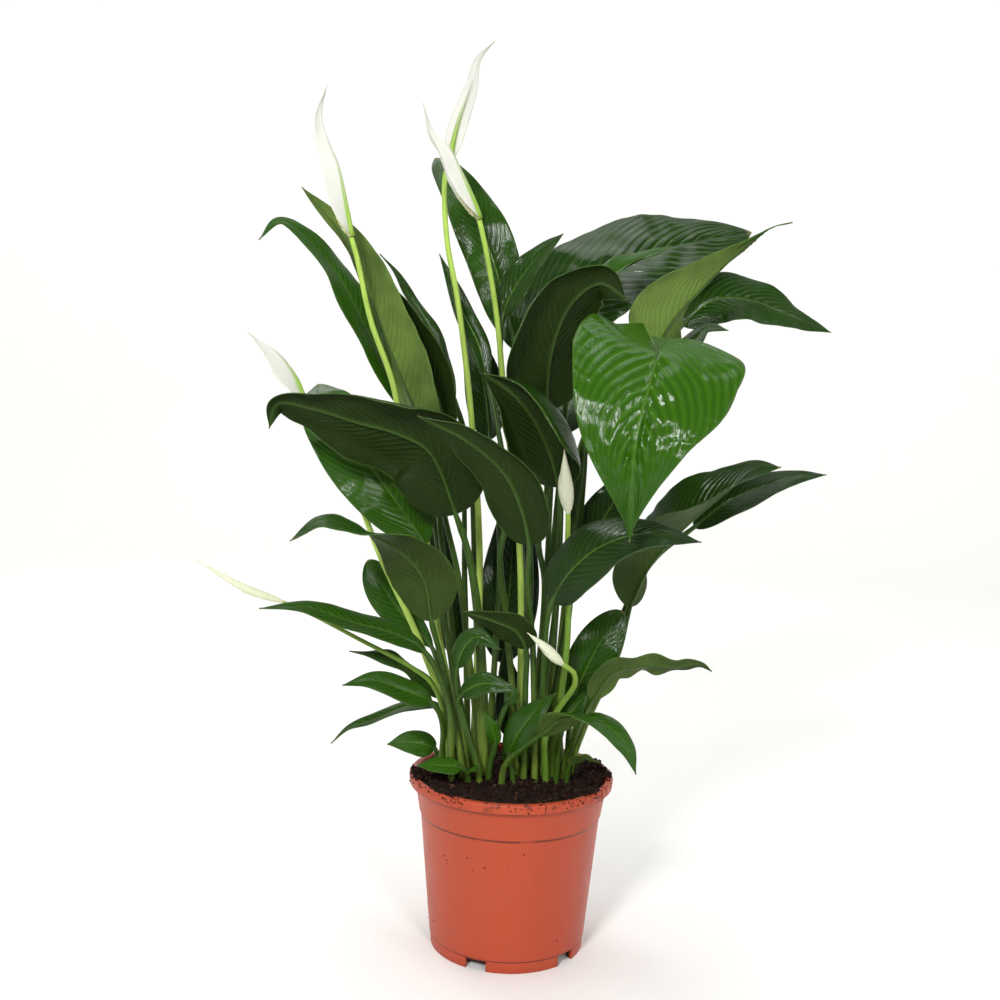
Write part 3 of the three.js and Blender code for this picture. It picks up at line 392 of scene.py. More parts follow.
        waves=2, tone=0.75,
        stem=[(-58, 2, 207), (-69, 6, 248)],
        blade=[(-91, 8, 271), (-112, 10, 297), (-126, 12, 322)],
        up=[(0, -0.95, 0.3), (0, -0.95, 0.3)],
    ),
    dict(
        name="leaf_left_twist", foot=(-43, -6), wide=10, fold=(10, 10), wave=2.5, waves=2, tone=0.4,
        stem=[(-55, -14, 192), (-62, -21, 214)],
        blade=[(-81, -30, 234), (-103, -40, 250), (-133, -50, 257)],
        up=[(0, -0.5, 0.85), (0, -0.5, 0.85)],
    ),
    dict(
        name="leaf_left_short", foot=(-59, -13), wide=12, fold=(8, 8), wave=1, waves=2, tone=0.7,
        stem=[(-58, -28, 193), (-66, -43, 215)],
        blade=[(-90, -57, 229), (-113, -67, 238), (-135, -74, 235)],
        up=[(0, -0.7, 0.7), (0, -0.7, 0.7)],
    ),
    dict(
        name="leaf_left_droop", foot=(-52, 10), wide=7, fold=(18, 18), wave=1, waves=2, tone=0.5,
        stem=[(-53, 13, 179), (-60, 17, 195)],
        blade=[(-89, 20, 195), (-120, 25, 181), (-142, 28, 172), (-157, 30, 157)],
        up=[(0, -0.5, 0.85), (0, -0.5, 0.85)],
    ),
    dict(
        name="leaf_left_rim", foot=(-63, 11), wide=12, fold=(8, 8), wave=0.8, waves=2, tone=0.9,
        stem=[(-65, 10, 161)],
        blade=[(-79, 8, 166), (-92, 7, 167), (-106, 6, 165)],
        up=[(0, -0.75, 0.65), (0, -0.75, 0.65)],
    ),
    dict(
        name="leaf_left_soil", foot=(-36, -32), wide=9, fold=(8, 8), wave=0.8, waves=2, tone=1,
        stem=[(-41, -36, 160)],
        blade=[(-55, -41, 163), (-77, -46, 164)],
        up=[(0, -0.6, 0.8), (0, -0.6, 0.8)],
        twin=dict(wide=5, stem=[(-35, -36, 158)],
                  blade=[(-31, -42, 161), (-27, -47, 162)]),
    ),
    dict(
        name="leaf_left_pair", foot=(-27, -31), wide=10, fold=(10, 10), wave=1, waves=2, tone=0.5,
        stem=[(-45, -38, 217), (-47, -46, 245)],
        blade=[(-40, -52, 265), (-31, -56, 273), (-12, -60, 264)],
        up=[(-0.3, -0.8, 0.5), (-0.3, -0.8, 0.5)],
        twin=dict(wide=10, stem=[(-45, -38, 212), (-43, -46, 223)],
                  blade=[(-24, -58, 236), (3, -62, 232)]),
    ),
    dict(
        name="leaf_bright_pair", foot=(-19, -27), wide=6, fold=(8, 8), wave=0.5, waves=2, tone=1,
        stem=[(-18, -28, 161), (-15, -29, 175), (-12, -32, 195), (-6, -36, 214)],
        blade=[(-2, -38, 223), (-9, -40, 232)],
        up=[(0, -0.9, 0.4), (0, -0.9, 0.4)],
        twin=dict(wide=6, stem=[(-18, -28, 161), (-14, -31, 178)],
                  blade=[(-18, -38, 196), (-24, -42, 209)]),
    ),
    dict(
        name="leaf_left_backlit", foot=(-27, 3), wide=31, fold=(55, 8), wave=2, waves=3, tone=0.95,
        stem=[(-38, 2, 240), (-49, 0, 311), (-63, 0, 367), (-73, 0, 417)],
        blade=[(-98, 2, 470), (-112, 4, 502), (-127, 6, 538), (-150, 8, 588), (-186, 8, 628)],
        up=[(0.35, 0.85, 0.4), (0.35, 0.85, 0.4)],
    ),
    dict(
        name="leaf_left_shaded", foot=(-37, 2), wide=22, fold=(10, 10), wave=2, waves=3, tone=0.3,
        stem=[(-50, 12, 231), (-59, 14, 306), (-67, 18, 357), (-63, 26, 424)],
        blade=[(-72, 30, 462), (-92, 32, 504), (-119, 34, 541), (-154, 40, 594)],
        up=[(0.4, 0.8, 0.45), (0.4, 0.8, 0.45)],
    ),
    dict(
        name="leaf_left_high", foot=(-47, 18), wide=17, fold=(12, 12), wave=2, waves=3, tone=0.75,
        stem=[(-61, 32, 287), (-81, 34, 390), (-101, 36, 449)],
        blade=[(-131, 38, 510), (-167, 38, 571), (-207, 32, 604), (-223, 20, 586)],
        up=[(0.6, -0.6, 0.5), (0.3, -0.6, 0.7)],
    ),
    dict(
        name="leaf_thin_curl", foot=(-29, 27), wide=8, fold=(15, 15), point=1.1, wave=1.5, waves=3,
        tone=0.4,
        stem=[(-37, 45, 320), (-45, 48, 415), (-58, 48, 458)],
        blade=[(-72, 48, 500), (-85, 48, 526), (-99, 46, 545), (-110, 42, 564), (-124, 36, 579)],
        up=[(0.5, -0.7, 0.4), (0.5, -0.7, 0.4)],
    ),
    dict(
        name="leaf_slim_upright", foot=(5, -14), wide=10, fold=(18, 18), wave=1, waves=2, tone=0.4,
        stem=[(-9, -10, 285), (-15, -12, 333), (-9, -8, 371), (-22, 2, 445), (-30, 11, 476)],
        blade=[(-38, 16, 504), (-51, 18, 529), (-61, 20, 553), (-73, 22, 579)],
        up=[(0.3, -0.9, 0.2), (0.3, -0.9, 0.2)],
    ),
    dict(
        name="leaf_centre_back", foot=(-20, 18), wide=18, fold=(8, 8), wave=2, waves=2, tone=0.1,
        stem=[(-15, 55, 319), (-21, 60, 389), (-27, 62, 424)],
        blade=[(-32, 66, 463), (-41, 68, 498), (-56, 70, 529)],
        up=[(0.1, -0.95, 0.3), (0.1, -0.95, 0.3)],
    ),
    dict(
        name="leaf_back_left", foot=(-38, 18), wide=30, fold=(10, 10), wave=3, waves=2.5, tone=0.3,
        stem=[(-45, 45, 300), (-52, 62, 400)],
        blade=[(-70, 92, 430), (-92, 122, 420), (-110, 150, 385)],
        up=[(-0.1, 0.1, 1), (-0.4, 0.5, 0.7)],
    ),
    dict(
        name="leaf_back_middle", foot=(-20, 27), wide=27, fold=(12, 12), wave=3, waves=2.5,
        tone=0.1,
        stem=[(-14, 44, 190), (-10, 54, 227)],
        blade=[(-8, 60, 254), (-5, 66, 302), (-4, 71, 356), (-9, 74, 394)],
        up=[(0, -0.95, 0.3), (0, -0.95, 0.3)],
    ),
    dict(
        name="leaf_back_low", foot=(-38, 27), wide=15, fold=(10, 10), wave=2, waves=2, tone=0.15,
        stem=[(-45, 38, 190), (-52, 46, 233)],
        blade=[(-56, 52, 260), (-64, 58, 310), (-69, 60, 350), (-68, 60, 382)],
        up=[(0.1, -0.95, 0.3), (0.1, -0.95, 0.3)],
    ),
    dict(
        name="leaf_back_short", foot=(-6, 26), wide=12, fold=(10, 10), wave=1, waves=2, tone=0.1,
        stem=[(-4, 30, 168)],
        blade=[(-3, 33, 190), (-3, 35, 214), (-8, 38, 244)],
        up=[(0, -0.95, 0.2), (0, -0.95, 0.2)],
    ),
]

# ---------- the flowers ----------
# spadix: its length. A closed flower has bud, the greatest radius of the spathe rolled round it.
FLOWERS = [
    dict(
        name="flower_tall", foot=(-33, 10), wide=9, fold=(35, 35), spadix=42,
        stem=[(-32, 8, 325), (-43, 4, 451), (-56, 2, 540), (-66, 2, 588), (-69, 4, 639), (-65, 4, 653)],
        blade=[(-63, 4, 667), (-59, 4, 684), (-50, 4, 711), (-45, 4, 732), (-32, 4, 747)],
        up=[(0.1, 0.95, 0.1), (0.1, 0.95, 0.1)],
    ),
    dict(
        name="flower_centre", foot=(6, 2), wide=16, fold=(58, 58), spadix=36,
        stem=[(2, 12, 326), (-15, 12, 460), (-24, 12, 530), (-32, 4, 572), (-40, -6, 604)],
        blade=[(-45, -9, 618), (-56, -13, 641), (-65, -16, 657), (-79, -18, 672), (-87, -20, 692)],
        up=[(-0.95, -0.1, -0.4), (-0.9, -0.1, -0.4)],
    ),
    dict(
        name="flower_left", foot=(-43, 10), wide=18, fold=(58, 58), spadix=40,
        stem=[(-63, -6, 259), (-77, -12, 347), (-90, -10, 386), (-106, -12, 469), (-125, -16, 521),
            (-137, -20, 572), (-141, -22, 585)],
        blade=[(-145, -22, 605), (-153, -22, 641), (-160, -21, 656), (-167, -20, 678),
            (-163, -18, 704)],
        up=[(-0.95, 0, -0.3), (-0.9, 0, -0.4)],
    ),
    dict(
        name="flower_far_left", foot=(-52, -6), wide=19, fold=(58, 58), spadix=28,
        stem=[(-58, -7, 200), (-75, -5, 245), (-86, -6, 271), (-113, -2, 324), (-142, 10, 389),
            (-171, 20, 438), (-184, 20, 456)],
        blade=[(-190, 20, 471), (-199, 18, 485), (-208, 17, 494), (-219, 15, 501), (-230, 12, 509)],
        up=[(-0.75, -0.1, -0.6), (-0.6, -0.1, -0.7)],
    ),
    dict(
        name="bud_low_left", foot=(-49, -15), bud=2.8, foot_radius=2.4, neck_radius=1.3,
        stem=[(-65, -30, 224), (-83, -42, 243), (-125, -62, 270), (-164, -80, 294), (-181, -86, 302)],
        blade=[(-208, -98, 314), (-224, -103, 324), (-240, -108, 335)],
    ),
    dict(
        name="bud_centre", foot=(33, -14), bud=5.5,
        stem=[(41, -42, 269), (38, -52, 348), (37, -58, 375)],
        blade=[(34, -63, 399), (32, -67, 424)],
    ),
    dict(
        name="bud_small", foot=(28, -22), bud=3.5,
        stem=[(26, -38, 186), (34, -42, 210), (47, -50, 233), (48, -53, 240), (46, -57, 247),
            (36, -62, 255)],
        blade=[(23, -68, 268), (8, -74, 281)],
    ),
]


# ---------- settings ----------
def linear(hex_colour):
    """An sRGB hex colour as linear red, green and blue."""
    channels = [int(hex_colour[i:i + 2], 16) / 255 for i in (1, 3, 5)]
    return tuple(c / 12.92 if c <= 0.04045 else ((c + 0.055) / 1.055) ** 2.4 for c in channels)


def rgba(tint):
    """A hex colour, or a setting's linear one, as a shader's socket takes it."""
    return (*(linear(tint) if isinstance(tint, str) else tint), 1)


def colour(name, description, hex_colour):
    """A setting that holds a colour."""
    return bpy.props.FloatVectorProperty(
        name=name, description=description, subtype="COLOR", default=linear(hex_colour))


class LilyLeafSettings(bpy.types.PropertyGroup):
    """Sizes and colours of the leaves and their stems."""
    thickness: bpy.props.FloatProperty(
        name="Thickness", description="Thickness of a blade", default=0.0007, unit="LENGTH")
    vein_spacing: bpy.props.FloatProperty(
        name="Vein spacing", description="Distance of the side veins along the midrib",
        default=0.0105, unit="LENGTH")
    quilting: bpy.props.FloatProperty(
        name="Quilting", description="How far the blade bulges between veins, as a share of its half width",
        default=0.022, min=0, max=0.1)
    old: colour("Old leaf", "Upper side of an old leaf", "#0e2304")
    young: colour("Young leaf", "Upper side of a young leaf", "#305c04")
    under: colour("Underside", "Dull underside of a leaf", "#1b2a07")
    rib: colour("Midrib", "Pale midrib and neck", "#6d9134")
    stem: colour("Stem", "Green of a leaf's stem", "#334f12")
    sheath: colour("Sheath", "Pale sheath at a stem's foot", "#6a802f")


class LilyFlowerSettings(bpy.types.PropertyGroup):
    """Sizes and colours of the flowers."""
    thickness: bpy.props.FloatProperty(
        name="Thickness", description="Thickness of a spathe", default=0.0006, unit="LENGTH")
    white: colour("Spathe", "White of a spathe", "#dcdbd3")
    green: colour("Keel", "Green keel and tip of a spathe", "#92bb2e")
    stalk: colour("Stalk", "Flower stalk", "#a3be55")
    spadix: colour("Spadix", "Florets of the spadix", "#d6d2aa")


class LilyPotSettings(bpy.types.PropertyGroup):
    """Colours of the pot and the soil, and how much soil lies about."""
    plastic: colour("Pot", "Terracotta-coloured plastic", "#af462b")
    soil: colour("Soil", "Moist potting mix", "#170c08")
    crumbs: bpy.props.IntProperty(
        name="Crumbs", description="Loose crumbs on the soil", default=900, min=0, max=4000)
    fibres: bpy.props.IntProperty(
        name="Fibres", description="Fine roots and fibres in the soil", default=46, min=0, max=400)
    specks: bpy.props.IntProperty(
        name="Specks", description="Specks of soil on the pot's wall", default=46, min=0, max=400)


class LilyStageSettings(bpy.types.PropertyGroup):
    """The floor and the light."""
    lens: bpy.props.FloatProperty(
        name="Lens", description="Focal length on a 36 mm wide sensor, in millimetres", default=43.63)
    floor: colour("Floor", "Pale paper under and behind the plant", "#f4f4f2")
    key: bpy.props.FloatProperty(
        name="Key light", description="Power that the softboxes share", default=59, unit="POWER")


# ---------- the way of a stem and its blade ----------
class Way:
    """A centripetal Catmull-Rom curve through the given points of a stem and its blade."""
    PARTS = 20

    def __init__(self, points, neck_index=0):
        self.points = [Vector(p) for p in points]
        first, last = self.points[0], self.points[-1]
        self.padded = [2 * first - self.points[1], *self.points, 2 * last - self.points[-2]]
        self.spans = len(self.points) - 1
        steps = self.PARTS * self.spans
        self.lengths = [0.0]
        here = self.raw(0)
        for i in range(1, steps + 1):
            there = self.raw(i / steps)
            self.lengths.append(self.lengths[-1] + (there - here).length)
            here = there
        self.length = self.lengths[-1]
        self.neck = self.lengths[neck_index * self.PARTS] / self.length

    def raw(self, t):
        """The point at share t of the spans."""
        span = min(int(t * self.spans), self.spans - 1)
        w = t * self.spans - span
        p0, p1, p2, p3 = self.padded[span:span + 4]
        d0, d1, d2 = [max((b - a).length_squared ** 0.25, NUDGE) for a, b in ((p0, p1), (p1, p2), (p2, p3))]
        start = ((p1 - p0) / d0 - (p2 - p0) / (d0 + d1) + (p2 - p1) / d1) * d1
        end = ((p2 - p1) / d1 - (p3 - p1) / (d1 + d2) + (p3 - p2) / d2) * d1
        return (p1 + start * w + (3 * (p2 - p1) - 2 * start - end) * w ** 2
                + (2 * (p1 - p2) + start + end) * w ** 3)

    def span_share(self, u):
        """Share u of the length as a share of the spans."""
        target = u * self.length
        i = min(max(bisect.bisect_right(self.lengths, target) - 1, 0), len(self.lengths) - 2)
        before, after = self.lengths[i], self.lengths[i + 1]
        return (i + (target - before) / (after - before)) / (len(self.lengths) - 1)

    def at(self, u):
        """The point at share u of the length."""
        return self.raw(self.span_share(u))

    def along(self, u):
        """The direction at share u of the length."""
        t = self.span_share(u)
        return (self.raw(min(t + NUDGE, 1)) - self.raw(max(t - NUDGE, 0))).normalized()

    def frames(self, stations):
        """A centre and two directions across the way at each station, carried along without a twist."""
        across = Vector((1, 0, 0))
        frames = []
        for u in stations:
            along = self.along(u)
            across = (across - along * across.dot(along)).normalized()
            frames.append((self.at(u), across, along.cross(across)))
        return frames

    def even(self, start, end, step):
        """Even shares of the length from start to end, no further apart than step."""
        count = max(1, math.ceil((end - start) * self.length / step))
        return [start + (end - start) * k / count for k in range(count + 1)]


def way_of(shoot):
    """The way of a leaf or flower, from its buried end to its tip."""
    x, y = shoot["foot"]
    points = [(x, y, STEM_BURIED), (x, y, STEM_OUT), *shoot["stem"], *shoot["blade"]]
    return Way(points, len(points) - 1 - len(shoot["blade"]))


def smooth(x):
    """0 below 0, 1 above 1, and an even rise between them."""
    x = min(max(x, 0), 1)
    return x * x * (3 - 2 * x)


def bell(x):
    """1 at 0, falling to nothing on both sides."""
    return math.exp(-x ** 2)


def polar(radius, turn, z=0.0):
    """The point at this radius and turn round the pot's axis."""
    return Vector((radius * math.cos(turn), radius * math.sin(turn), z))


# ---------- meshes ----------
def finish_piece(name, bm, materials, nodes=()):
    """The mesh, modelled in millimetres round the pot's axis, as a piece that rides with the plant."""
    bmesh.ops.translate(bm, verts=bm.verts, vec=PLACE)
    piece = shown(name, bm, materials)
    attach(piece, "root")
    if nodes:
        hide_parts(*nodes)
    return piece


def shown(name, bm, materials=(), soft=True):
    """A mesh in millimetres as an object in metres, with soft or faceted shading."""
    bmesh.ops.scale(bm, verts=bm.verts, vec=(MM, MM, MM))
    for face in bm.faces:
        face.smooth = soft
    mesh = bpy.data.meshes.new(name)
    bm.to_mesh(mesh)
    bm.free()
    for material in materials:
        mesh.materials.append(material)
    piece = bpy.data.objects.new(name, mesh)
    bpy.context.scene.collection.objects.link(piece)
    return piece


def layers(bm):
    """The attributes that the leaf and flower materials read, on a mesh's points."""
    names = ("across", "along", "aside", "vein", "tone")
    return {name: bm.verts.layers.float.get(name) or bm.verts.layers.float.new(name) for name in names}


def rolled(bm, sides, rings):
    """A grid to be rolled into a tube: its vertices with their turn in radians and their ring."""
    made = bmesh.ops.create_grid(bm, x_segments=sides, y_segments=rings, size=1)
    return [(v, math.pi * (v.co.x + 1), round((v.co.y + 1) / 2 * rings)) for v in made["verts"]]


def close_tube(bm, verts, others, material_index):
    """Welds the tube's seam, closes its two ends and turns its faces out. others: faces made before it."""
    bmesh.ops.remove_doubles(bm, verts=verts, dist=WELD)
    faces = [f for f in bm.faces if f not in others]
    edges = {e for f in faces for e in f.edges if e.is_boundary}
    faces += bmesh.ops.holes_fill(bm, edges=list(edges), sides=0)["faces"]
    for face in faces:
        face.material_index = material_index
    bmesh.ops.recalc_face_normals(bm, faces=faces)


def tube(bm, way, stations, radius_at, material_index, sides=STEM_SIDES, sink=None, tone=0.5, start=0.0):
    """A closed tube along a way. sink moves a station's centre, away from the blade that it runs under.
    start is where the attribute along begins to run from 0 to 1."""
    keys = layers(bm)
    others = set(bm.faces)
    frames = way.frames(stations)
    verts = []
    for v, angle, ring in rolled(bm, sides, len(stations) - 1):
        u = stations[ring]
        centre, a, b = frames[ring]
        if sink:
            centre = centre + sink(u)
        v.co = centre + (a * math.cos(angle) + b * math.sin(angle)) * radius_at(u, angle)
        v[keys["along"]] = (u - start) / (1 - start)
        v[keys["across"]] = math.sin(angle)
        v[keys["tone"]] = tone
        verts.append(v)
    close_tube(bm, verts, others, material_index)


class Row:
    """One row of a blade: where its midrib is, its directions, and its half width."""

    def __init__(self, shoot, way, t):
        self.t = t
        u = way.neck + (1 - way.neck) * t
        self.at = way.at(u)
        self.along = way.along(u)
        stages = len(shoot["up"]) - 1
        stage = min(int(t * stages), stages - 1)
        face = Vector(shoot["up"][stage]).lerp(Vector(shoot["up"][stage + 1]), t * stages - stage)
        self.side = face.cross(self.along).normalized()
        self.up = self.along.cross(self.side)
        base = shoot.get("base", BASE)
        point = shoot.get("point", POINT)
        widest = base / (base + point)
        outline = t ** base * (1 - t) ** point / (widest ** base * (1 - widest) ** point)
        self.half = max(shoot["wide"] * outline, EDGE)
        self.middle = math.sin(math.pi * t)


def blade_point(shoot, row, s):
    """The point of the blade's middle surface at share s from the right edge (-1) to the left one (1)."""
    half = 0 if s < 0 else 1
    out = abs(s) * row.half
    fold = math.radians(shoot["fold"][half]) * math.sqrt(max(row.middle, 0))
    turn = math.tau * shoot.get("waves", 1) * row.t + half * WAVE_SHIFT
    ruffle = shoot.get("wave", 0) * s * s * row.middle * math.sin(turn)
    lift = out * math.sin(fold) - ARCH * row.half * s * s + ruffle
    back = shoot.get("lobes", (0, 0))[half] * abs(s) ** 1.5 * (1 - row.t) ** 3
    roll = shoot.get("roll", 0) * row.half * row.middle * max(0, abs(s) - ROLL_FROM) ** 2 * ROLL_CURVE
    corner = shoot.get("corner", 0) * max(s, 0) ** 3 * bell((row.t - CORNER_AT) / CORNER_SPAN)
    aside = math.copysign(out * math.cos(fold) - roll / 2, s) + CORNER_OUT * corner
    return row.at + row.side * aside + row.up * (lift - roll) - row.along * (back + corner)


def blade_relief(shoot, row, s, phase, quilting, length, seed):
    """How far a blade's surface stands above its middle surface: quilts, puckers, creases and crimps."""
    wide = shoot["wide"]
    out = s * row.half
    side = 0 if s < 0 else 7
    inner = smooth(abs(out) / 4) * smooth((1 - abs(s)) * 4) * smooth(row.middle * 2.2)
    bulge = quilting * wide * (abs(math.sin(math.pi * phase)) ** 0.8 - QUILT_LEVEL) * shoot.get("quilt", 1)
    uneven = noise.noise((blade_point(shoot, row, s) + seed) * PUCKER_GRAIN) * PUCKER_DEPTH * wide
    crease_place = Vector((out * CREASE_ACROSS, row.t * length * CREASE_ALONG, seed.x))
    creases = CREASE_DEPTH * abs(noise.noise(crease_place)) * shoot.get("pucker", 0)
    creases *= smooth((row.t - 0.25) * 4) * smooth(2 - 3 * abs(s))
    groove = MIDRIB_DEPTH * bell(out / MIDRIB_WIDTH) * smooth(row.half / 6)
    edge_place = Vector((row.t * length * CRIMP_GRAIN, seed.x, side))
    crimp = CRIMP_DEPTH * wide ** 0.8 * s ** 4 * row.middle * noise.noise(edge_place)
    if "sunk" in shoot:
        crimp = -abs(crimp) - shoot["sunk"] * inner
    return (bulge + uneven - creases) * inner - groove + crimp


def grow_blade(bm, shoot, way, spacing, quilting, thickness):
    """A blade: a fine grid shaped by the row's outline, quilted between its side veins, with two faces."""
    keys = layers(bm)
    length = way.length * (1 - way.neck)
    wide = shoot["wide"]
    rows = max(30, min(130, round(length / ROW_STEP)))
    columns = 2 * max(6, min(34, round(wide / COLUMN_STEP)))
    verts = bmesh.ops.create_grid(bm, x_segments=columns, y_segments=rows, size=1)["verts"]
    lines = [Row(shoot, way, i / rows) for i in range(rows + 1)]
    ratio = wide / length
    veins = round(length / (spacing * shoot.get("spacing", 1))) + VEINS_MORE
    seed = way.points[0] * SEED_STEP
    for v in verts:
        row = lines[round((v.co.y + 1) / 2 * rows)]
        s = math.copysign(abs(v.co.x) ** CROWDING, v.co.x)
        sweep = VEIN_SWEEP * ratio * abs(s) + (VEIN_BEND * ratio + VEIN_CURL) * s * s
        phase = veins * (row.t - sweep)
        v.co = blade_point(shoot, row, s)
        v.co += row.up * blade_relief(shoot, row, s, phase, quilting, length, seed)
        v[keys["across"]] = s
        v[keys["aside"]] = abs(s) * row.half
        v[keys["along"]] = row.t
        v[keys["vein"]] = phase
        v[keys["tone"]] = shoot.get("tone", COMMON_TONE)
    faces = list({f for v in verts for f in v.link_faces})
    for face in faces:
        face.normal_update()
    up = lines[rows // 2].up
    if sum(f.normal.dot(up) * f.calc_area() for f in faces) < 0:
        bmesh.ops.reverse_faces(bm, faces=faces)
    for v in verts:
        v.normal_update()
    for v in verts:
        v.co += v.normal * thickness / 2
    for item in bmesh.ops.solidify(bm, geom=faces, thickness=thickness)["geom"]:
        if isinstance(item, bmesh.types.BMFace):
            item.material_index = 1


def stem_radius(shoot, share):
    """A stem's radius at this share of its way from the foot to the neck."""
    neck = shoot.get("neck_radius", NECK_RADIUS)
    return neck + (shoot.get("foot_radius", FOOT_RADIUS) - neck) * max(0, 1 - share) ** TAPER


def grow_stem(bm, shoot, way, material_index, rib_end=0.0):
    """A stem from its buried foot to its neck, and on as the midrib to share rib_end of the blade."""
    stations = way.even(0, way.neck, STEM_STEP)
    if rib_end:
        stations += way.even(way.neck, way.neck + (1 - way.neck) * rib_end, MIDRIB_STEP)[1:]

    def radius_at(u, angle):
        if rib_end and u > way.neck:
            neck = stem_radius(shoot, 1)
            return neck + (TIP_RADIUS - neck) * math.sqrt((u - way.neck) / (1 - way.neck) / rib_end)
        share = u / way.neck
        joint = JOINT * bell((share - JOINT_AT) / JOINT_SPAN) if rib_end else 0
        channel = CHANNEL * smooth(2.2 - abs(angle - math.pi)) * (1 - share)
        return stem_radius(shoot, share) * (1 + joint - channel)

    # the midrib lies in the blade's underside
    depths = {}
    for u in stations:
        t = (u - way.neck) / (1 - way.neck)
        if t > 0:
            depths[u] = Row(shoot, way, t).up * smooth(t / 0.08) * (radius_at(u, 0) * 0.85 + 0.2)
    tube(bm, way, stations, radius_at, material_index, sink=lambda u: -depths.get(u, Vector()),
         tone=shoot.get("tone", COMMON_TONE))


# ---------- materials ----------
def shader(name, sockets):
    """A new material with these values on its Principled shader: the material, its tree and the shader."""
    material = bpy.data.materials.new(name)
    material.use_nodes = True
    skin = material.node_tree.nodes["Principled BSDF"]
    for socket, value in sockets.items():
        skin.inputs[socket].default_value = value
    return material, material.node_tree, skin


def add(tree, kind, inputs=(), output=0, **properties):
    """Adds a shader node with its properties and gives one output. inputs: a socket or a value for each."""
    node = tree.nodes.new("ShaderNode" + kind)
    for name, value in properties.items():
        setattr(node, name, value)
    for key, value in dict(inputs).items():
        if isinstance(value, bpy.types.NodeSocket):
            tree.links.new(value, node.inputs[key])
        else:
            node.inputs[key].default_value = value
    return node.outputs[output]


def carried(tree, *names):
    """The numbers that a mesh carries on its points, by their names."""
    return [add(tree, "Attribute", output="Fac", attribute_name=name) for name in names]


def place_along(tree, axis):
    """How far a point of the piece lies along an axis, in metres."""
    return add(tree, "SeparateXYZ", {"Vector": add(tree, "TexCoord", output="Object")}, output=axis)


def patches(tree, rate, detail=3.0, stretch=(1, 1, 1)):
    """Soft uneven patches, at this rate in cycles per metre."""
    place = add(tree, "Mapping", {"Vector": add(tree, "TexCoord", output="Object"), "Scale": stretch})
    return add(tree, "TexNoise", {"Vector": place, "Scale": rate, "Detail": detail}, output="Fac")


def ripples(tree, phase, rate):
    """Even ripples across a phase, at this rate in radians."""
    turned = add(tree, "Math", {0: phase, 1: rate}, operation="MULTIPLY")
    return add(tree, "Math", {0: turned}, operation="SINE")


def rise(tree, mask, low, high, strength=1.0, within=None):
    """A share that grows softly from 0 to the strength as a mask goes from low to high, within another."""
    share = add(tree, "MapRange", {0: mask, 1: low, 2: high, 4: strength}, interpolation_type="SMOOTHSTEP")
    return share if within is None else add(tree, "Math", {0: share, 1: within}, operation="MULTIPLY")


def painted(tree, body, *coats):
    """The body's colour under coats of paint: for each its tint, and where it lies, as rise takes it."""
    body = rgba(body)
    for tint, *reach in coats:
        body = add(tree, "Mix", {0: rise(tree, *reach), 6: body, 7: rgba(tint)}, output=2, data_type="RGBA")
    return body


def dress(tree, skin, body, *bumps):
    """Gives the shader its colour and a chain of bumps, the finest first, each with its depth in metres."""
    tree.links.new(body, skin.inputs["Base Color"])
    under = {}
    for height, depth in bumps:
        under = {"Normal": add(tree, "Bump", {"Height": height, "Distance": depth, **under})}
    if under:
        tree.links.new(under["Normal"], skin.inputs["Normal"])
        tree.links.new(under["Normal"], skin.inputs["Coat Normal"])


def leaf_masks(tree):
    """What both sides of a leaf are coloured by."""
    across, along, aside, vein, tone = carried(tree, "across", "along", "aside", "vein", "tone")
    across = add(tree, "Math", {0: across}, operation="ABSOLUTE")
    near_vein = add(tree, "Math", {0: ripples(tree, vein, math.pi)}, operation="ABSOLUTE")
    # the finest veins are about 0.4 mm apart, and are drawn at 0.9 mm so that they show
    fine = ripples(tree, vein, math.tau * 12)
    return across, along, aside, vein, tone, near_vein, fine


def waxy_leaf(settings):
    """The upper side: a waxy cuticle, so it's smooth and shiny, dark green with paler sunk veins."""
    material, tree, skin = shader("waxy_leaf_upper", {
        "Roughness": 0.36, "IOR": 1.45, "Specular IOR Level": 0.06,
        "Coat Weight": 0.5, "Coat Roughness": 0.1})
    across, along, aside, vein, tone, near_vein, fine = leaf_masks(tree)
    # young green by random patches and each leaf's tone, which is partly age and partly painted light: darker
    # for a leaf in shade, paler for one lit from behind
    age_and_light = add(tree, "Math", {0: patches(tree, 34), 1: 0.3, 2: tone}, operation="MULTIPLY_ADD")
    body = painted(
        tree, settings.old,
        (settings.young, age_and_light, 0.1, 1.25),
        ("#467a16", near_vein, 0.22, 0.0, 0.42, rise(tree, across, 1.0, 0.5)),
        # painted shade: darker bands between the side veins, where the quilts fall into shade
        ("#0d2404", near_vein, 0.45, 1.0, 0.3),
        ("#10300a", fine, 0.4, 1.0, 0.16),
        (settings.rib, aside, 1.0, 0.35, 0.5, rise(tree, along, 0.95, 0.2)),
        # a paler rim and a dry point
        ("#5f7f2a", across, 0.965, 1.0, 0.25),
        ("#7a6a3a", along, 0.975, 0.995, 0.7))
    # ripples between the side veins, half their distance apart and not everywhere
    uneven = rise(tree, patches(tree, 45), 0.35, 0.7)
    ripple = add(tree, "Math", {0: ripples(tree, vein, math.tau * 2), 1: uneven}, operation="MULTIPLY")
    dress(tree, skin, body, (patches(tree, 520, 2), 0.00003), (fine, 0.000012), (ripple, 0.00005),
          (rise(tree, near_vein, 0.22, 0.0), -0.0002))
    return material


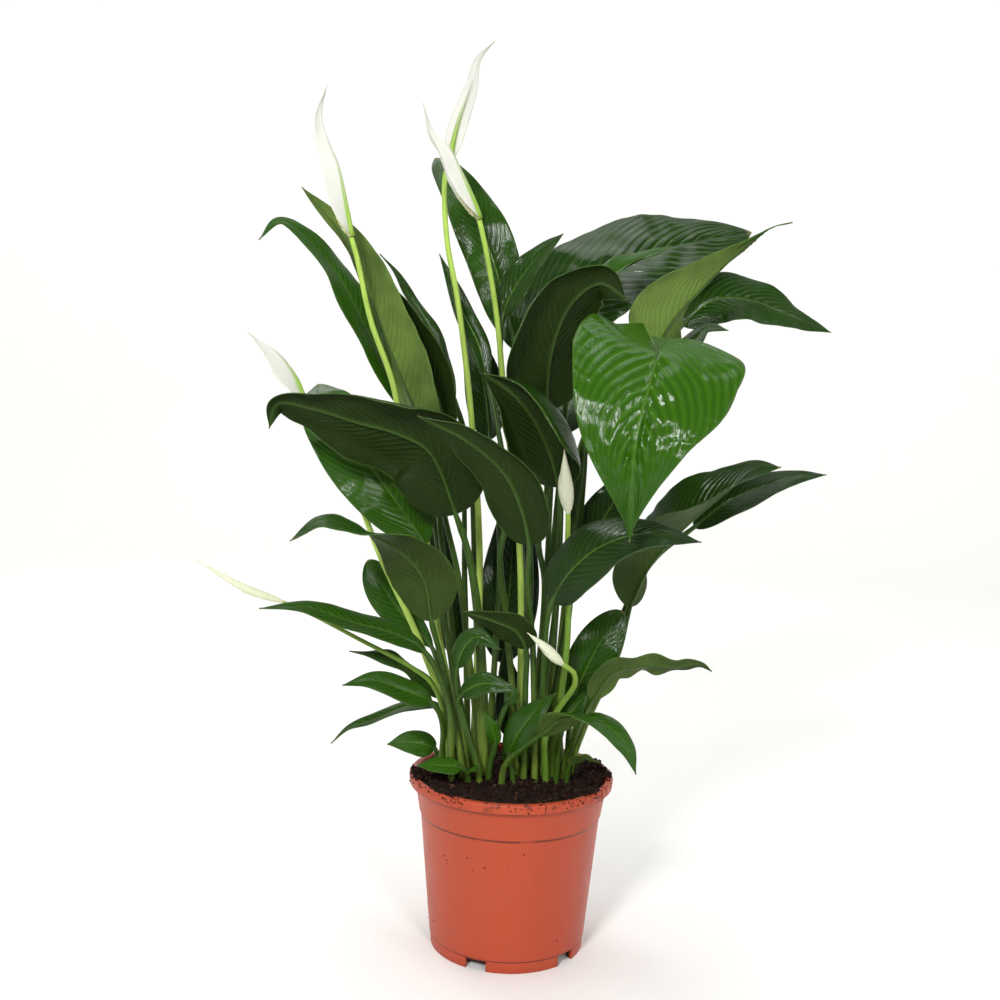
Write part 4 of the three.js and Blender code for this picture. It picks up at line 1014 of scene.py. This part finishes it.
def dull_leaf(settings):
    """The underside: no shiny cuticle, so it's paler, greyer and dull, and its veins stand out."""
    material, tree, skin = shader("dull_leaf_under", {
        "Roughness": 0.52, "IOR": 1.42, "Specular IOR Level": 0.14})
    across, _, aside, _, tone, near_vein, fine = leaf_masks(tree)
    body = painted(
        tree, settings.under,
        # paler with the tone: partly a young underside's own colour, partly painted light shining through a
        # blade lit from behind
        ("#728e42", tone, 0.4, 1.0),
        ("#15240a", patches(tree, 17), 0.35, 0.65, 0.55),
        ("#5d7a2c", near_vein, 0.3, 0.0, 0.3),
        # painted shade: darker bands between the side veins, where the quilts fall into shade
        ("#1a2c0a", near_vein, 0.4, 1.0, 0.3),
        ("#4f6830", fine, 0.2, 1.0, 0.1),
        ("#3f5a20", aside, 2.2, 0.8, 0.4),
        ("#5f7f2a", across, 0.97, 1.0, 0.2))
    dress(tree, skin, body, (patches(tree, 700, 2), 0.0001), (rise(tree, near_vein, 0.3, 0.0), 0.0005))
    return material


def fleshy_stem(name, foot_tint, tint, neck_tint, streaked, shade="#3f6a1a"):
    """A fleshy stem: smooth and a little shiny, paler in its sheath, with fine lines along it."""
    material, tree, skin = shader(name, {"Roughness": 0.42, "IOR": 1.42, "Specular IOR Level": 0.35})
    along, = carried(tree, "along")
    streak = patches(tree, 420, 3, (1, 1, 0.06))
    body = painted(
        tree, foot_tint,
        (tint, along, 0.1, 0.42),
        (neck_tint, along, 0.5, 0.95),
        (shade, streak, 0.42, 0.7, streaked),
        (shade, patches(tree, 60), 0.55, 0.8, 0.25))
    dress(tree, skin, body, (streak, 0.0002))
    return material


def spathe_skin(name, settings, keel):
    """A spathe: a thin white modified leaf with a velvety sheen, green along its keel and at its tip."""
    material, tree, skin = shader(name, {"Roughness": 0.48, "IOR": 1.4, "Sheen Weight": 0.15})
    across, along, aside = carried(tree, "across", "along", "aside")
    lines = ripples(tree, across, 46)
    left = add(tree, "Math", {0: 1.0, 1: along}, operation="SUBTRACT")
    spread = add(tree, "Math", {0: aside, 1: left}, operation="DIVIDE")
    body = painted(
        tree, settings.white,
        ("#d9d9cf", patches(tree, 70), 0.4, 0.75, 0.35),
        ("#cfd2bb", lines, 0.2, 1.0, 0.1),
        # the green runs out from the keel, wide at the foot and gone by two thirds of the way up
        (settings.green, spread, 4.5, 0.6, keel, rise(tree, along, 0.7, 0.1)),
        ("#a9b184", along, 0.88, 1.0, 0.6),
        (settings.green, along, 0.08, 0.0, 0.5))
    dress(tree, skin, body, (lines, 0.0001), (patches(tree, 500, 2), 0.00012))
    return material


def floret_skin(settings):
    """The spadix: waxy cream florets with greenish pits between them."""
    material, tree, skin = shader("waxy_florets", {"Roughness": 0.6})
    pit, = carried(tree, "vein")
    body = painted(tree, "#b9bd86", (settings.spadix, pit, 0.1, 0.7))
    dress(tree, skin, body, (patches(tree, 1400, 2), 0.0001))
    return material


def potting_mix(name, tint, pale, rough):
    """Moist potting mix: dark fibrous peat, dull, crumbly at every scale from 0.5 to 5 mm."""
    material, tree, skin = shader(name, {"Roughness": rough, "Specular IOR Level": 0.2})
    coarse = patches(tree, 240, 5)
    fine = patches(tree, 1500, 4)
    body = painted(tree, tint, (pale, coarse, 0.38, 0.72), ("#5a3824", fine, 0.62, 0.82, 0.4))
    dress(tree, skin, body, (coarse, 0.0016), (fine, 0.0006))
    return material


def moulded_plastic(settings):
    """Moulded polypropylene, terracotta coloured: satin, with faint flow marks, patches of dust, and painted
    shade in its steps.
    """
    material, tree, skin = shader("moulded_polypropylene", {"IOR": 1.49, "Specular IOR Level": 0.3})
    flow = patches(tree, 16, 4, (1, 1, 0.3))
    dust = patches(tree, 55, 5)
    height = place_along(tree, "Z")
    # painted shade: darker lines under the step, under the lip and at the foot, broken up in patches
    painted_shade_lines = []
    shade_breakup = rise(tree, dust, 0.2, 0.5)
    for corner, reach in (
            (STEP_HEIGHT - 1.2, 1.7), (POT_HEIGHT - LIP_DEPTH - 0.1, 1.6), (FLOOR_HEIGHT - 0.2, 1.0)):
        above = add(tree, "Math", {0: height, 1: corner * MM}, operation="SUBTRACT")
        off = add(tree, "Math", {0: above}, operation="ABSOLUTE")
        painted_shade_lines.append(("#4d1f14", off, reach * MM, 0.2 * MM, 0.85, shade_breakup))
    smudged = rise(tree, patches(tree, 130, 5), 0.54, 0.66)
    body = painted(
        tree, settings.plastic,
        ("#9b3c24", flow, 0.35, 0.75, 0.35),
        ("#94543c", dust, 0.56, 0.78, 0.22),
        *painted_shade_lines,
        ("#3a1c13", height, (POT_HEIGHT - 14) * MM, POT_HEIGHT * MM, 0.75, smudged))
    # the dust dulls the satin
    tree.links.new(add(tree, "MapRange", {0: dust, 3: 0.34, 4: 0.52}), skin.inputs["Roughness"])
    dress(tree, skin, body, (patches(tree, 900, 2), 0.00004), (flow, 0.0003))
    return material


def matte_paper(white, grey):
    """Graded matte backdrop paper: white round the plant and behind it, grey on the studio's open side."""
    material, tree, skin = shader("graded_paper", {"Roughness": 0.9})
    dress(tree, skin, painted(tree, white, (grey, place_along(tree, "Y"), -1.1, -2.6)))
    return material


# ---------- pot and soil ----------
def front(degrees):
    """The turn of a place so many degrees to the right of the front, as polar takes it."""
    return math.radians(degrees - 90)


def wall_radius(z):
    """Outer radius of the tapered wall."""
    return BASE_RADIUS + (BAND_RADIUS - BASE_RADIUS) * (z - FLOOR_HEIGHT) / (STEP_HEIGHT - FLOOR_HEIGHT)


SOIL_RIM = wall_radius(SOIL_EDGE - 3) - WALL - BEND - 0.95


def soil_top(place):
    """Height of the soil at a place: a low mound with the lumps piled against the lip left and right."""
    x, y = place.x, place.y
    middle = 1 - (math.hypot(x, y) / LIP_RADIUS) ** 2
    right = 13 * math.exp(-0.5 * (math.hypot(x - 70, y - 2) / 6) ** 2)
    left = 5 * math.exp(-0.5 * (math.hypot(x + 66, y + 12) / 10) ** 2)
    return SOIL_EDGE + SOIL_MOUND * middle + right + left


def spin_profile(bm, profile, steps, closed=False, start=0.0, angle=math.tau):
    """Spins a profile of radius and height round the pot's axis. A closed one may be a partial ring."""
    verts = [bm.verts.new(polar(r, start, z)) for r, z in profile]
    pairs = list(zip(verts, verts[1:])) + ([(verts[-1], verts[0])] if closed else [])
    edges = [bm.edges.new(pair) for pair in pairs]
    full = angle >= math.tau
    before = set(bm.faces)
    bmesh.ops.spin(bm, geom=verts + edges, cent=(0, 0, 0), axis=(0, 0, 1), dvec=(0, 0, 0), angle=angle,
                   steps=steps, use_merge=full, use_duplicate=False)
    spun = list({v for f in bm.faces if f not in before for v in f.verts})
    bmesh.ops.remove_doubles(bm, verts=spun, dist=WELD)
    faces = [f for f in bm.faces if f not in before]
    if not full:
        open_edges = list({e for f in faces for e in f.edges if e.is_boundary})
        faces += bmesh.ops.holes_fill(bm, edges=open_edges, sides=0)["faces"]
    bmesh.ops.recalc_face_normals(bm, faces=faces)
    return faces


def pot_profile():
    """The pot's wall, from the middle of its underside round the lip to the middle of its floor."""
    under = STEP_HEIGHT - 1.5
    lip_foot = POT_HEIGHT - LIP_DEPTH
    top = FLOOR_HEIGHT + FLOOR_THICKNESS
    band = LIP_RADIUS - LIP_WIDTH
    ring = BASE_RADIUS - FOOT_RING
    crown = []
    for degrees in (0, 18, 36, 54, 72, 90):
        a = math.radians(degrees)
        crown.append((LIP_RADIUS - LIP_ROLL * (1 - math.cos(a)), POT_HEIGHT - LIP_ROLL * (1 - math.sin(a))))
    return [
        (0, FLOOR_HEIGHT), (ring - 1.5, FLOOR_HEIGHT), (ring, FLOOR_HEIGHT - 0.6), (ring, FOOT_ROOT),
        (BASE_RADIUS - 1.0, FOOT_ROOT), (BASE_RADIUS - 0.7, FLOOR_HEIGHT - 0.6),
        (BASE_RADIUS - 0.2, FLOOR_HEIGHT), (BASE_RADIUS, FLOOR_HEIGHT + 0.8),
        (wall_radius(under) - BEND, under - 0.6), (wall_radius(under) - BEND + 0.3, under),
        (BAND_RADIUS - 0.2, STEP_HEIGHT - 0.2), (BAND_RADIUS, STEP_HEIGHT + 0.4),
        (band, lip_foot - 0.8), (band + 0.5, lip_foot - 0.2), (LIP_RADIUS - 0.8, lip_foot),
        (LIP_RADIUS - 0.2, lip_foot + 0.5), (LIP_RADIUS, lip_foot + 1.6),
        *crown,
        (band + 1.0, POT_HEIGHT), (band + 0.2, POT_HEIGHT - 0.25), (band - 0.5, POT_HEIGHT - 0.9),
        (band - 1.0, POT_HEIGHT - 2.2), (band - WALL - 0.4, lip_foot - 1),
        (BAND_RADIUS - WALL, STEP_HEIGHT), (wall_radius(under) - BEND - WALL, under - 1),
        (BASE_RADIUS - WALL, top + 1.5), (BASE_RADIUS - WALL - 1.5, top), (0, top),
    ]


def cut_drains(piece):
    """Cuts the drain holes through the pot's floor."""
    bm = bmesh.new()
    for i in range(FEET):
        centre = polar(DRAIN_CIRCLE, front(FOOT_TURN + 360 / FEET * i), FLOOR_HEIGHT + 1) + PLACE
        bmesh.ops.create_cone(bm, cap_ends=True, segments=DRAIN_STEPS, radius1=DRAIN_RADIUS,
                              radius2=DRAIN_RADIUS, depth=4 * FLOOR_THICKNESS,
                              matrix=Matrix.Translation(centre))
    cutter = shown("drain_cutter", bm, soft=False)
    cut = piece.modifiers.new("drains", "BOOLEAN")
    cut.operation = "DIFFERENCE"
    cut.object = cutter
    bpy.context.view_layer.update()
    holed = bpy.data.meshes.new_from_object(piece.evaluated_get(bpy.context.evaluated_depsgraph_get()))
    piece.modifiers.remove(cut)
    old = piece.data
    piece.data = holed
    holed.name = piece.name
    bpy.data.objects.remove(cutter)
    bpy.data.meshes.remove(old)


def make_pot(settings):
    """The pot: its spun wall and floor with drain holes, and the feet of its cut foot ring."""
    plastic = moulded_plastic(settings)
    bm = bmesh.new()
    spin_profile(bm, pot_profile(), POT_STEPS)
    cut_drains(finish_piece("pot_wall", bm, [plastic], ["pot"]))
    bm = bmesh.new()
    half_gap = math.asin(FOOT_GAP / 2 / (BASE_RADIUS - 2))
    outer, inner = BASE_RADIUS - 1.2, BASE_RADIUS - FOOT_RING
    ring = [(inner, 0.4), (inner + 0.4, 0), (outer - 0.4, 0), (outer, 0.4), (outer + 0.45, FOOT_ROOT),
            (outer + 0.45, FOOT_ROOT + 0.4), (inner, FOOT_ROOT + 0.4)]
    for i in range(FEET):
        start = front(FOOT_TURN + 360 / FEET * i) + half_gap
        spin_profile(bm, ring, FOOT_STEPS, closed=True, start=start, angle=math.tau / FEET - 2 * half_gap)
    finish_piece("pot_feet", bm, [plastic], ["pot"])


def fill_bed(bm):
    """The body of the soil, with a rough top."""
    bottom = FLOOR_HEIGHT + FLOOR_THICKNESS + SOIL_GAP
    profile = [(0, bottom), (BASE_RADIUS - WALL - 2.2, bottom), (wall_radius(60) - 3.2, 60),
               (wall_radius(STEP_HEIGHT - 4) - 3.2, STEP_HEIGHT - 4), (SOIL_RIM, SOIL_EDGE - 3)]
    profile += [(SOIL_RIM * (1 - k / SOIL_RINGS) ** 0.9, SOIL_EDGE) for k in range(SOIL_RINGS + 1)]
    spin_profile(bm, profile, SOIL_STEPS)
    for v in bm.verts:
        if v.co.z > SOIL_EDGE - 1:
            lumps = 2.2 * noise.fractal(Vector((v.co.x, v.co.y, 3)) * 0.11, 1.0, 2.0, 5)
            grit = 1.1 * noise.noise(Vector((v.co.x, v.co.y, 9)) * 0.55)
            v.co.z = soil_top(v.co) + lumps + grit


def crumb(bm, place, size, squash=1.0, material_index=0):
    """Adds an uneven lump of this size."""
    verts = bmesh.ops.create_icosphere(bm, subdivisions=1, radius=size)["verts"]
    turn = Matrix.Rotation(random.uniform(0, math.tau), 3, Vector((random.random(), random.random(), 1)))
    for v in verts:
        v.co = turn @ (v.co * random.uniform(0.75, 1.25))
        v.co.z *= squash
        v.co += place
    for face in {f for v in verts for f in v.link_faces}:
        face.material_index = material_index


def scatter_crumbs(bm, count):
    """Crumbs all over the soil, a few of them husks, and more where they gather."""
    for k in range(count):
        radius = SOIL_RIM * math.sqrt(random.random()) * 0.99
        place = polar(radius, random.uniform(0, math.tau))
        size = random.choice((0.6, 0.8, 1.0, 1.3, 1.7, 2.3))
        place.z = soil_top(place) + 0.7 + size * 0.3
        crumb(bm, place, size, 0.8, 1 if k % HUSK_EVERY == 0 else 0)
    for x, y, reach, high, many in HEAPS:
        middle = Vector((x, y, 0))
        for k in range(many):
            place = Vector((random.gauss(x, reach), random.gauss(y, reach * 1.3), 0))
            out = place.length
            if out > LIP_RADIUS - 2:
                place *= (LIP_RADIUS - 2) / out
            floor = max(soil_top(place), SOIL_EDGE) if out < SOIL_RIM + 2 else POT_HEIGHT
            heap = high * math.exp(-0.5 * ((place - middle).length / reach) ** 2)
            size = random.choice((0.7, 1.0, 1.4, 1.9))
            place.z = floor + heap * random.random() + size * 0.4
            crumb(bm, place, size, 0.9)
    # a bank all round the rim
    for k in range(count // 2):
        turn = random.uniform(0, math.tau)
        inwards = abs(random.gauss(0, 3.5))
        place = polar(SOIL_RIM - inwards, turn)
        size = random.choice((0.8, 1.1, 1.5, 2.0))
        high = 3.5 * max(0, 1 - inwards / 6) * (1 + math.sin(turn)) * random.random()
        place.z = soil_top(place) + 0.8 + high
        crumb(bm, place, size, 0.85)
    # and round the foot of every stem
    for shoot in LEAVES + FLOWERS:
        way = way_of(shoot)
        u = 0
        while way.at(u).z < SOIL_EDGE + SOIL_MOUND:
            u += 0.002
        for k in range(FOOT_CRUMBS):
            turn = random.uniform(0, math.tau)
            radius = shoot.get("foot_radius", FOOT_RADIUS) * random.uniform(0.8, 1.5)
            place = way.at(u) + polar(radius, turn)
            size = random.choice((0.7, 1.0, 1.3, 1.7))
            place.z = soil_top(place) + random.uniform(0.5, 2.2)
            crumb(bm, place, size, 0.9)
    # a root end that has come out through a drain hole, beside a foot
    for k in range(FOOT_CRUMBS):
        turn = front(ROOT_END + random.uniform(-3, 3))
        radius = BASE_RADIUS - 4.5 + random.uniform(-1.5, 1.0)
        place = polar(radius, turn, random.uniform(2.5, FLOOR_HEIGHT - 1))
        crumb(bm, place, random.uniform(0.6, 1.3))


def lay_fibres(bm, count):
    """Fine roots in the soil and over the lip."""
    for k in range(count):
        turn = random.uniform(0, math.tau)
        place = polar(SOIL_RIM * math.sqrt(random.random()) * 0.97, turn)
        heading = random.uniform(0, math.tau)
        points = []
        for step in range(5):
            points.append((place.x, place.y, soil_top(place) + 1.0 + random.uniform(-0.5, 1.4)))
            heading += random.uniform(-0.8, 0.8)
            place += polar(3.2, heading)
            if place.length > SOIL_RIM:
                place *= 0.96
        way = Way(points)
        tube(bm, way, way.even(0, 1, 1.6), lambda u, angle: 0.28 - 0.12 * u, 0, sides=4)
    for degrees, hang in HANGING_ROOTS:
        out = polar(1, front(degrees))
        side = polar(1, math.radians(degrees))
        way = Way([out * r + side * aside + Vector((0, 0, z)) for r, aside, z in (
            (SOIL_RIM - 5, 0, SOIL_EDGE + 4), (LIP_RADIUS - 4, 0, POT_HEIGHT),
            (LIP_RADIUS - 0.6, 1.5, POT_HEIGHT + 0.2), (LIP_RADIUS + 0.25, 2, POT_HEIGHT - 3),
            (LIP_RADIUS + 0.2, 1.2, POT_HEIGHT - hang))])
        tube(bm, way, way.even(0, 1, 1.2), lambda u, angle: 0.42 - 0.2 * u, 0, sides=5)


def cling_specks(bm, count):
    """Specks of soil on the pot's wall, and clusters of them on its lip."""
    for k in range(count):
        turn = random.uniform(0, math.tau)
        z = random.uniform(14, 108)
        place = polar(wall_radius(z) - z / STEP_HEIGHT, turn, z)
        crumb(bm, place, random.uniform(0.3, 0.7))
    for k in range(count):
        middle = random.uniform(0, math.tau)
        for speck in range(random.randint(2, 9)):
            turn = middle + random.gauss(0, 0.035)
            z = POT_HEIGHT - abs(random.gauss(0, 0.35)) * LIP_DEPTH
            shrink = 1.5 * max(0, (z - POT_HEIGHT + LIP_ROLL) / LIP_ROLL) ** 2
            radius = LIP_RADIUS - shrink if z > POT_HEIGHT - LIP_DEPTH else LIP_RADIUS - LIP_WIDTH
            crumb(bm, polar(radius, turn, z), random.uniform(0.25, 0.85))


def make_soil(settings):
    """The soil: one body with a rough top, its crumbs, fine roots, and what has spilt on the pot."""
    random.seed(7)
    mix = potting_mix("moist_potting_mix", settings.soil, "#331b12", 0.92)
    husk = potting_mix("dry_husk", "#452b1e", "#715038", 0.85)
    bm = bmesh.new()
    fill_bed(bm)
    finish_piece("soil_bed", bm, [mix], ["soil"])
    for name, strew, count, materials in (
            ("soil_crumbs", scatter_crumbs, settings.crumbs, [mix, husk]),
            ("soil_fibres", lay_fibres, settings.fibres, [husk]),
            ("soil_specks", cling_specks, settings.specks, [mix])):
        bm = bmesh.new()
        strew(bm, count)
        finish_piece(name, bm, materials)


# ---------- the plant ----------
def make_leaves(settings):
    """Every leaf: its blade, its midrib and its stem in one piece."""
    skins = [
        waxy_leaf(settings),
        dull_leaf(settings),
        fleshy_stem("fleshy_leaf_stem", settings.sheath, settings.stem, "#314a18", 0.5, "#213909"),
    ]
    for leaf in LEAVES:
        bm = bmesh.new()
        for shoot in [leaf, {**leaf, **leaf["twin"]}] if "twin" in leaf else [leaf]:
            way = way_of(shoot)
            grow_blade(bm, shoot, way, settings.vein_spacing / MM, settings.quilting, settings.thickness / MM)
            grow_stem(bm, shoot, way, 2, rib_end=MIDRIB_END)
        finish_piece(leaf["name"] + "_fine", bm, skins, [leaf["name"]])


def grow_keel(bm, spathe, seat):
    """The keel on the outside of a spathe, from its foot to near its tip."""

    def radius_at(u, angle):
        share = (u - seat.neck) / (1 - seat.neck)
        return NECK_RADIUS * max(0, 1 - share) ** 1.6 + 0.15

    def sink(u):
        row = Row(spathe, seat, (u - seat.neck) / (1 - seat.neck))
        return row.up * -0.5 * radius_at(u, 0)

    stations = [seat.neck + (1 - seat.neck) * k / KEEL_STEPS for k in range(KEEL_STEPS - 2)]
    tube(bm, seat, stations, radius_at, 1, sink=sink, start=seat.neck)


def grow_spadix(bm, flower, way, start):
    """The spadix: a round column covered with florets in crossing spirals."""
    keys = layers(bm)
    others = set(bm.faces)
    length = flower["spadix"]
    face = Vector(flower["up"][0])
    points = []
    for k in (0, 0.15, 0.5, 1):
        u = start + length * k / way.length
        along = way.along(u)
        lean = (face - along * face.dot(along)).normalized()
        points.append(way.at(u) + lean * SPADIX_LEAN * min(1, 2.5 * k))
    spine = Way(points)
    frames = spine.frames([i / SPADIX_RINGS for i in range(SPADIX_RINGS + 1)])
    verts = []
    for v, turn, i in rolled(bm, SPADIX_SIDES, SPADIX_RINGS):
        centre, a, b = frames[i]
        share = i / SPADIX_RINGS
        thick = SPADIX_RADIUS - SPADIX_TAPER * share ** 3
        thick *= math.sqrt(max(0, 1 - max(0, (share - 0.94) / 0.06) ** 2))
        thick = NECK_RADIUS + (thick - NECK_RADIUS) * smooth((share - 0.08) / 0.06)
        climb = math.tau * share * length / FLORET_PITCH
        floret = 0.5 + 0.25 * (math.cos(4 * turn + climb) + math.cos(4 * turn - climb))
        studded = smooth((share - 0.11) / 0.05)
        radius = max(thick + FLORET_HEIGHT * (floret - 0.5) * studded, 0.05)
        v.co = centre + (a * math.cos(turn) + b * math.sin(turn)) * radius
        v[keys["vein"]] = floret * studded
        verts.append(v)
    close_tube(bm, verts, others, 2)


def make_flowers(settings):
    """The open flowers: a stalk, and a bloom of spathe and spadix."""
    stalk = fleshy_stem("fleshy_flower_stalk", "#a8c65a", settings.stalk, "#a9cc55", 0.22)
    skins = [spathe_skin("spathe_inside", settings, 0.25), spathe_skin("spathe_outside", settings, 0.95),
             floret_skin(settings)]
    spacing = bpy.context.scene.lily_leaf.vein_spacing / MM
    for flower in FLOWERS:
        if "bud" in flower:
            continue
        name = flower["name"]
        way = way_of(flower)
        bm = bmesh.new()
        grow_stem(bm, flower, way, 0)
        finish_piece(name + "_stalk_fine", bm, [stalk], [name + "_stalk"])
        bm = bmesh.new()
        spathe = {**flower, "base": SPATHE_BASE, "point": SPATHE_POINT}
        seat = way_of(flower)
        seat.neck += BLOOM_GAP / way.length
        grow_blade(bm, spathe, seat, spacing, SPATHE_QUILTING, settings.thickness / MM)
        grow_keel(bm, spathe, seat)
        grow_spadix(bm, flower, way, seat.neck)
        finish_piece(name + "_bloom_fine", bm, skins, [name + "_bloom"])


def make_buds():
    """The closed flowers: the spathe rolled round itself, its free edge running up in a long spiral."""
    stalk = fleshy_stem("fleshy_bud_stalk", "#5f7d2b", "#67882f", "#92ad45", 0.3)
    furled = fleshy_stem("rolled_spathe", "#9cb354", "#c9cfa4", "#d6d8bd", 0.1)
    for flower in FLOWERS:
        if "bud" not in flower:
            continue
        way = way_of(flower)

        def stalk_radius(u, angle):
            return stem_radius(flower, min(u / way.neck, 1))

        def bud_radius(u, angle):
            t = (u - way.neck) / (1 - way.neck)
            if t <= 0:
                return stalk_radius(u, angle)
            roll = flower["bud"] * math.sin(math.pi * t ** 0.8) * (1 - 0.4 * t)
            edge = (angle / math.tau + 0.9 * t) % 1
            radius = max(TIP_RADIUS, stem_radius(flower, 1) * (1 - t) + roll)
            return radius * (1 + 0.16 * smooth(t * 6) * (edge - 0.5))

        bm = bmesh.new()
        tube(bm, way, way.even(0, way.neck, STEM_STEP), stalk_radius, 0)
        tube(bm, way, way.even(way.neck - 0.004, 1, BUD_STEP), bud_radius, 1, sides=BUD_SIDES)
        finish_piece(flower["name"] + "_fine", bm, [stalk, furled], [flower["name"]])


# ---------- stage ----------
def area_light(name, place, target, size, power):
    """A softbox that faces its target."""
    data = bpy.data.lights.new(name, "AREA")
    data.shape = "SQUARE"
    data.size = size
    data.energy = power
    light = bpy.data.objects.new(name, data)
    light.location = place
    light.rotation_euler = (Vector(target) - Vector(place)).to_track_quat("-Z", "Y").to_euler()
    bpy.context.scene.collection.objects.link(light)


def make_stage(settings):
    """A pale floor that curves up into a backdrop all round, soft light from above, and the camera."""
    bm = bmesh.new()
    sweep = [(0, 0), (FLOOR_REACH, 0)]
    for degrees in range(10, 91, 10):
        a = math.radians(degrees)
        sweep.append((FLOOR_REACH + COVE * math.sin(a), COVE - COVE * math.cos(a)))
    sweep.append((FLOOR_REACH + COVE, BACKDROP_HEIGHT))
    faces = spin_profile(bm, sweep, BACKDROP_STEPS)
    middle = Vector((0, 0, 1000))
    outwards = [f for f in faces if f.normal.dot(middle - f.calc_center_median()) < 0]
    bmesh.ops.reverse_faces(bm, faces=outwards)
    shown("backdrop", bm, [matte_paper(settings.floor, "#8e8e8c")])

    world = bpy.data.worlds.new("studio")
    world.use_nodes = True
    sky = world.node_tree.nodes["Background"]
    sky.inputs["Color"].default_value = (1, 1, 1, 1)
    sky.inputs["Strength"].default_value = WORLD_LIGHT
    bpy.context.scene.world = world
    bpy.context.scene.view_settings.view_transform = "Standard"
    for name, (place, target, size, share) in SOFTBOXES.items():
        area_light(name, place, target, size, settings.key * share)

    data = bpy.data.cameras.new("camera")
    data.sensor_width = SENSOR
    data.lens = settings.lens
    camera = bpy.data.objects.new("camera", data)
    camera.location = (CAMERA_PLACE + PLACE) * MM
    level = Matrix.Rotation(math.radians(90 - CAMERA_DOWN), 4, "X")
    roll = Matrix.Rotation(math.radians(CAMERA_ROLL), 4, "Z")
    camera.rotation_euler = (level @ roll).to_euler()
    bpy.context.scene.collection.objects.link(camera)
    bpy.context.scene.camera = camera


# ---------- add-on ----------
class LILY_OT_pot(bpy.types.Operator):
    """Makes the pot"""
    bl_idname = "lily.make_pot"
    bl_label = "Pot"

    def execute(self, context):
        make_pot(context.scene.lily_pot)
        return {"FINISHED"}


class LILY_OT_soil(bpy.types.Operator):
    """Makes the soil with its crumbs, fibres and specks"""
    bl_idname = "lily.make_soil"
    bl_label = "Soil"

    def execute(self, context):
        make_soil(context.scene.lily_pot)
        return {"FINISHED"}


class LILY_OT_leaves(bpy.types.Operator):
    """Grows every leaf"""
    bl_idname = "lily.grow_leaves"
    bl_label = "Leaves"

    def execute(self, context):
        make_leaves(context.scene.lily_leaf)
        return {"FINISHED"}


class LILY_OT_flowers(bpy.types.Operator):
    """Grows the open flowers"""
    bl_idname = "lily.grow_flowers"
    bl_label = "Flowers"

    def execute(self, context):
        make_flowers(context.scene.lily_flower)
        return {"FINISHED"}


class LILY_OT_buds(bpy.types.Operator):
    """Grows the closed flowers"""
    bl_idname = "lily.grow_buds"
    bl_label = "Buds"

    def execute(self, context):
        make_buds()
        return {"FINISHED"}


class LILY_OT_stage(bpy.types.Operator):
    """Sets up the floor, the light and the camera"""
    bl_idname = "lily.set_stage"
    bl_label = "Stage"

    def execute(self, context):
        make_stage(context.scene.lily_stage)
        return {"FINISHED"}


class LILY_PT_panel(bpy.types.Panel):
    """The lily's pieces and settings"""
    bl_label = "Lily"
    bl_space_type = "VIEW_3D"
    bl_region_type = "UI"
    bl_category = "Lily"

    def draw(self, context):
        for operator in OPERATORS:
            self.layout.operator(operator.bl_idname)
        for name in GROUPS:
            box = self.layout.box()
            group = getattr(context.scene, name)
            for key in group.bl_rna.properties.keys():
                if key not in ("rna_type", "name"):
                    box.prop(group, key)


GROUPS = {
    "lily_leaf": LilyLeafSettings,
    "lily_flower": LilyFlowerSettings,
    "lily_pot": LilyPotSettings,
    "lily_stage": LilyStageSettings,
}
OPERATORS = (LILY_OT_stage, LILY_OT_pot, LILY_OT_soil, LILY_OT_leaves, LILY_OT_flowers, LILY_OT_buds)
CLASSES = (*GROUPS.values(), *OPERATORS, LILY_PT_panel)


def register():
    """Registers the add-on's classes and its settings."""
    for kind in CLASSES:
        bpy.utils.register_class(kind)
    for name, group in GROUPS.items():
        setattr(bpy.types.Scene, name, bpy.props.PointerProperty(type=group))


def unregister():
    """Takes the settings and the classes away again."""
    for name in GROUPS:
        delattr(bpy.types.Scene, name)
    for kind in reversed(CLASSES):
        bpy.utils.unregister_class(kind)


def main():
    """Registers the add-on and makes every piece."""
    register()
    bpy.ops.lily.set_stage()
    bpy.ops.lily.make_pot()
    bpy.ops.lily.make_soil()
    bpy.ops.lily.grow_leaves()
    bpy.ops.lily.grow_flowers()
    bpy.ops.lily.grow_buds()


if __name__ == "__main__":
    main()
